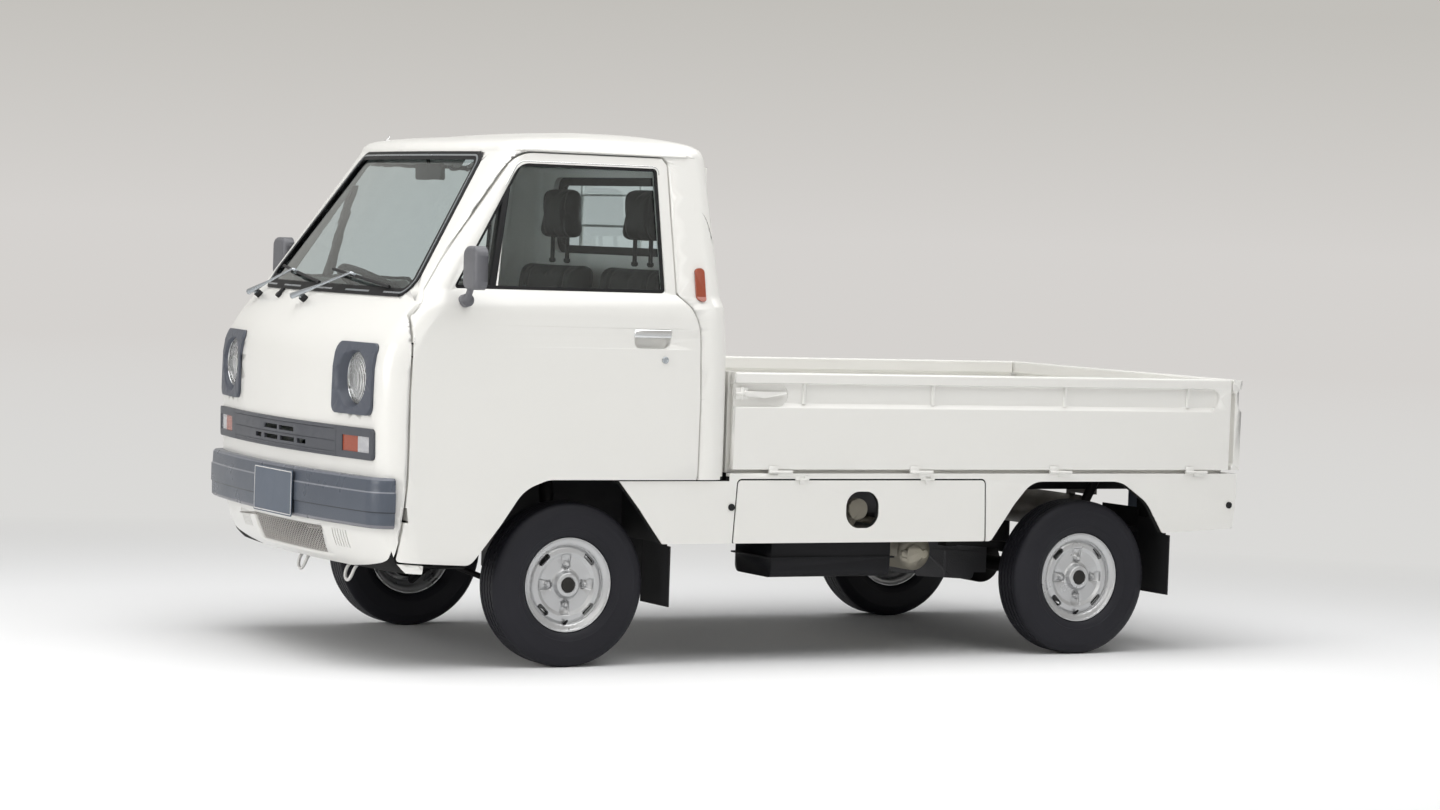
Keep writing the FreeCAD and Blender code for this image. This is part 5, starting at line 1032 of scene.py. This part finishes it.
# %% Quarter light bars
BAR_ENDS = ((1.158, 1.149), (1.0935, 1.452))
BAR_WIDE = 0.021
BAR_FACE = 0.0065
BAR_BACK = -0.030


def set_corners(piece, corners):
    """Moves a cube's eight corners; keys are the signs of x, y and z."""
    for vertex in piece.data.vertices:
        key = tuple(0 if value < 0 else 1 for value in vertex.co)
        vertex.co = corners[key]


for label, side in SIDES:
    bpy.ops.object.select_all(action="DESELECT")
    bpy.ops.mesh.primitive_cube_add(size=1.0)
    bar = named_piece("quarter_bar_" + label)
    corners = {}
    for end, (x, z) in enumerate(BAR_ENDS):
        face = planes[label].reach(z)
        for across in (0, 1):
            for out in (0, 1):
                depth = face + (BAR_FACE if out else BAR_BACK)
                key = (across, out if side > 0 else 1 - out, end)
                corners[key] = (x + (across - 0.5) * BAR_WIDE, side * depth, z)
    set_corners(bar, corners)
    round_edges(bar, 0.003)
    dress(bar, NODE_BODY["door_glass_" + label], "seal_rubber")
print("quarter light bars ready")

# %% [markdown]
# ## Splash guards
# Behind each wheel a black rubber sheet closes the arch towards the chassis. It hangs stiffly from
# the frame, so it needs no cloth: it is a thin block with rounded edges beside the mud flap.

# %% Splash guards
GUARD_HALF = 0.003
GUARD_SPAN = (0.290, 0.505)
for end, x, low_z, high_z in (("front", 0.5425, 0.235, 0.430), ("rear", -1.3225, 0.245, 0.470)):
    for label, side in SIDES:
        low_y, high_y = sorted(side * y for y in GUARD_SPAN)
        guard = rounded_block("splash_guard_%s_%s" % (end, label), (x - GUARD_HALF, low_y, low_z),
                              (x + GUARD_HALF, high_y, high_z), 0.0015)
        dress(guard, "truck", "seal_rubber")
print("splash guards ready")

# %% [markdown]
# ## Tow hooks
# Two bent steel rods hang under the nose. The CAD's hooks are coarse, so their faces are deleted
# from the copy of the cross members. A hook could be extruded ring by ring, but a rod of one
# thickness is quicker to bend as a curve with a round bevel, which is then made a mesh.

# %% Tow hooks
HOOK_R = 0.0050
HOOK_ARM = ((1.392, 0.024, 0.322), (1.420, 0.026, 0.306), (1.446, 0.029, 0.286), (1.456, 0.026, 0.256))
HOOK_TIP = (1.458, 0.240)
COARSE_HOOKS_X = 1.375
COARSE_HOOKS_Z = 0.3165
delete_faces(skins["cross_members"],
             lambda centre: centre.x > COARSE_HOOKS_X and centre.z < COARSE_HOOKS_Z)
for label, y in (("near", 0.321), ("far", -0.057)):
    curve = bpy.data.curves.new("tow_hook_" + label, "CURVE")
    curve.dimensions = "3D"
    curve.bevel_depth = HOOK_R
    curve.bevel_resolution = 3
    curve.use_fill_caps = True
    line = curve.splines.new("NURBS")
    points = [(x, y - across, z) for x, across, z in HOOK_ARM]
    points.append((HOOK_TIP[0], y, HOOK_TIP[1]))
    points += [(x, y + across, z) for x, across, z in reversed(HOOK_ARM)]
    line.points.add(len(points) - 1)
    for point, place in zip(line.points, points):
        point.co = place + (1.0,)
    line.order_u = 3
    line.use_endpoint_u = True
    hook = bpy.data.objects.new("tow_hook_" + label, curve)
    bpy.context.scene.collection.objects.link(hook)
    select_only(hook)
    bpy.ops.object.convert(target="MESH")
    dress(bpy.context.active_object, "truck", "white_fitting", 60.0)
print("hooks ready")

# %% [markdown]
# ## Door furniture
# The chrome pull is a bar across its recess, so a block with well rounded edges is enough. The key
# lock below it is a small barrel with a sunk middle. A cylinder would stay flat, so it is turned.

# %% Pulls and locks
LOCK_PLACE = (0.587, 0.944)
lock_profile = [(0.0, 0.0105), (0.0035, 0.0105), (0.0045, 0.0095), (0.0045, 0.0075), (0.0030, 0.0065),
                (0.0030, 0.0020)]
for label, side in SIDES:
    body = NODE_BODY["door_" + label]
    outer = max(side * v.co.y for v in frame["nodes"]["door_" + label].data.vertices)
    low_y, high_y = sorted((side * (outer - 0.010), side * (outer + 0.001)))
    pull = rounded_block("door_pull_" + label, (0.568, low_y, 1.011), (0.696, high_y, 1.037), 0.0045, 4)
    dress(pull, body, "chrome")
    start = (LOCK_PLACE[0], side * (outer - 0.003), LOCK_PLACE[1])
    lock = turned_piece("door_lock_" + label, start, (0, side, 0), lock_profile, 32)
    dress(lock, body, "wiper_steel")
    print("door face", label, round(outer, 4))

# %% [markdown]
# ## Aerial
# The radio aerial lies back along the right side of the roof: a black foot and the bright end of its
# mast. Both are round and change thickness along their length, so they are turned, not extruded.

# %% The aerial
foot_profile = [(0.0, 0.0045), (0.008, 0.0080), (0.030, 0.0085), (0.055, 0.0060), (0.068, 0.0035)]
mast_profile = [(0.0, 0.0030), (0.012, 0.0026), (0.015, 0.0034), (0.018, 0.0034), (0.020, 0.0016)]
foot = turned_piece("aerial_foot", (1.060, -0.540, 1.564), (-0.056, 0.0, 0.039), foot_profile, 24)
dress(foot, "truck", "trim_plastic")
mast = turned_piece("aerial_mast", (1.004, -0.540, 1.602), (-0.045, 0.0, 0.060), mast_profile, 20)
dress(mast, "truck", "chrome")
print("aerial ready")

# %% [markdown]
# ## The front plate's border
# The blank plate has a thin pale line round its edge. It could be a zone of the plate's finish, but
# a raised edge catches the light, so it is a flat frame laid on the plate.

# %% Plate border
PLATE_CORNERS = ((-0.106, 0.431), (0.199, 0.431), (0.199, 0.565), (-0.106, 0.565))
plate_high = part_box("number_plates")[1]
corners = [(plate_high[0] - 0.0002, y, z) for y, z in PLATE_CORNERS]
border = frame_ring("plate_border", corners, corner_radius=0.005, width=0.0028,
                    depth=Vector((0.0008, 0.0, 0.0)))
dress(border, "truck", "white_fitting")
print("plate", [round(v, 4) for v in plate_high])

# %% [markdown]
# ## Seats and headrests
# Each seat is foam under black vinyl: crowned, tight over its edges, with sewn channels across it.
# It could be a subdivided block, but that keeps its flat faces. So a block with rounded edges takes
# the space of its CAD solid, is remeshed to an even net, and is blown up a little by a cloth
# simulation, which gives the crown and the soft corners. The channels are pressed in afterwards,
# because remeshing would remove a seam narrower than the net.

# %% Padding by cloth simulation
CLOTH_PRESSURE = 4.0
CLOTH_FRAMES = 16
EDGE_STEPS = 4
scene = bpy.context.scene


def swell(piece, cap):
    """Blows a pad up by cloth pressure, with no point moving further than the cap."""
    before = [vertex.co.copy() for vertex in piece.data.vertices]
    bpy.ops.object.modifier_add(type="CLOTH")
    cloth = piece.modifiers[-1]
    cloth.settings.use_pressure = True
    cloth.settings.uniform_pressure_force = CLOTH_PRESSURE
    cloth.settings.effector_weights.gravity = 0.0
    for step in range(1, CLOTH_FRAMES + 1):
        scene.frame_set(step)
    bpy.ops.object.modifier_apply(modifier=cloth.name)
    scene.frame_set(1)
    for vertex, rest in zip(piece.data.vertices, before):
        moved = vertex.co - rest
        if moved.length > cap:
            vertex.co = rest + moved * (cap / moved.length)


def padded_form(name, ends, shrink, edge, voxel, cap, floor_z=None):
    """A foam form between two ends of four corners each, crowned by cloth pressure."""
    bpy.ops.object.select_all(action="DESELECT")
    bpy.ops.mesh.primitive_cube_add(size=1.0)
    piece = named_piece(name)
    corners = [Vector(corner) for corner in ends[0] + ends[1]]
    middle = sum(corners, Vector()) / len(corners)
    for vertex in piece.data.vertices:
        x, y, z = (0 if value < 0 else 1 for value in vertex.co)
        corner = Vector(ends[y][ROUND_A_PLANE[x + 2 * z]])
        inward = middle - corner
        vertex.co = corner + Vector([math.copysign(min(abs(v), shrink), v) for v in inward])
    round_edges(piece, edge, EDGE_STEPS)
    select_only(piece)
    bpy.ops.object.modifier_add(type="REMESH")
    net = piece.modifiers[-1]
    net.mode = "VOXEL"
    net.voxel_size = voxel
    bpy.ops.object.modifier_apply(modifier=net.name)
    swell(piece, cap)
    if floor_z is not None:
        for vertex in piece.data.vertices:
            vertex.co.z = max(vertex.co.z, floor_z)
    return piece


print("padding helpers ready")


# %% Channels and covers
def section_ends(section, y, half_low, half_high):
    """A pad's two ends: one section of low back, low front, high front and high back corners."""
    return [[(x, y + side * (half_low if number < 2 else half_high), z)
             for number, (x, z) in enumerate(section)] for side in (-1, 1)]


def press_channels(piece, axis, places, depth, spread, towards):
    """Presses sewn channels into the pad where its coordinate along an axis meets each place."""
    toward = Vector(towards)
    normals = [vertex.normal.copy() for vertex in piece.data.vertices]
    for vertex, normal in zip(piece.data.vertices, normals):
        facing = max(0.0, -normal.dot(toward))
        for place in places:
            away = (vertex.co[axis] - place) / spread
            vertex.co += toward * depth * facing * math.exp(-away * away)


def soft_finish(piece, node):
    """One subdivision, vinyl, and the calls that every pad needs."""
    select_only(piece)
    bpy.ops.object.modifier_add(type="SUBSURF")
    smooth = piece.modifiers[-1]
    smooth.levels = smooth.render_levels = 1
    bpy.ops.object.modifier_apply(modifier=smooth.name)
    dress(piece, "truck", "seat_cloth", 70.0)
    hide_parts(node)


print("cover helpers ready")

# %% Two seats
DECK_Z = 0.620
SEAT_Y = 0.300
SEAT_PLACES = (("right", -SEAT_Y), ("left", SEAT_Y))
DOWN, BACK = (0, 0, -1), (-1, 0, 0)
CUSHION_SECTION = ((0.478, DECK_Z), (0.960, DECK_Z), (0.968, 0.742), (0.478, 0.722))
BACK_SECTION = ((0.480, 0.7235), (0.585, 0.728), (0.520, 1.232), (0.440, 1.232))
for label, y in SEAT_PLACES:
    cushion = padded_form("seat_cushion_" + label, section_ends(CUSHION_SECTION, y, 0.240, 0.240),
                          shrink=0.007, edge=0.030, voxel=0.008, cap=0.014, floor_z=DECK_Z + 0.0005)
    press_channels(cushion, 1, (y - 0.135, y + 0.135), depth=0.007, spread=0.009, towards=DOWN)
    press_channels(cushion, 0, (0.640, 0.735, 0.830), depth=0.005, spread=0.009, towards=DOWN)
    soft_finish(cushion, "seats")
    back = padded_form("seat_back_" + label, section_ends(BACK_SECTION, y, 0.235, 0.235),
                       shrink=0.007, edge=0.028, voxel=0.008, cap=0.010)
    press_channels(back, 1, (y - 0.130, y + 0.130), depth=0.007, spread=0.009, towards=BACK)
    press_channels(back, 2, (0.860, 0.960, 1.060), depth=0.005, spread=0.009, towards=BACK)
    soft_finish(back, "seats")
    print("seat", label, len(cushion.data.polygons), len(back.data.polygons))

# %% [markdown]
# The headrests are smaller pads of the same vinyl, narrower at the top. Each drops into the seat
# back on two steel posts, which have a collar at their foot, so they are turned.

# %% Two headrests
HEADREST_SECTION = ((0.436, 1.300), (0.506, 1.300), (0.506, 1.470), (0.436, 1.470))
POST_PLACES = (("in", -0.055), ("out", 0.055))
post_profile = [(0.0, 0.0065), (0.0045, 0.0110), (0.0130, 0.0110), (0.0150, 0.0070), (0.1050, 0.0070)]
for label, y in SEAT_PLACES:
    pad = padded_form("headrest_" + label, section_ends(HEADREST_SECTION, y, 0.128, 0.108),
                      shrink=0.006, edge=0.026, voxel=0.006, cap=0.009)
    press_channels(pad, 1, (y - 0.075, y + 0.075), depth=0.004, spread=0.006, towards=BACK)
    soft_finish(pad, "headrests")
    for post_label, across in POST_PLACES:
        post = turned_piece("headrest_post_%s_%s" % (label, post_label), (0.474, y + across, 1.2225),
                            (0, 0, 1), post_profile, 24)
        dress(post, "truck", "trim_plastic")
        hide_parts("headrests")
print("headrests ready")
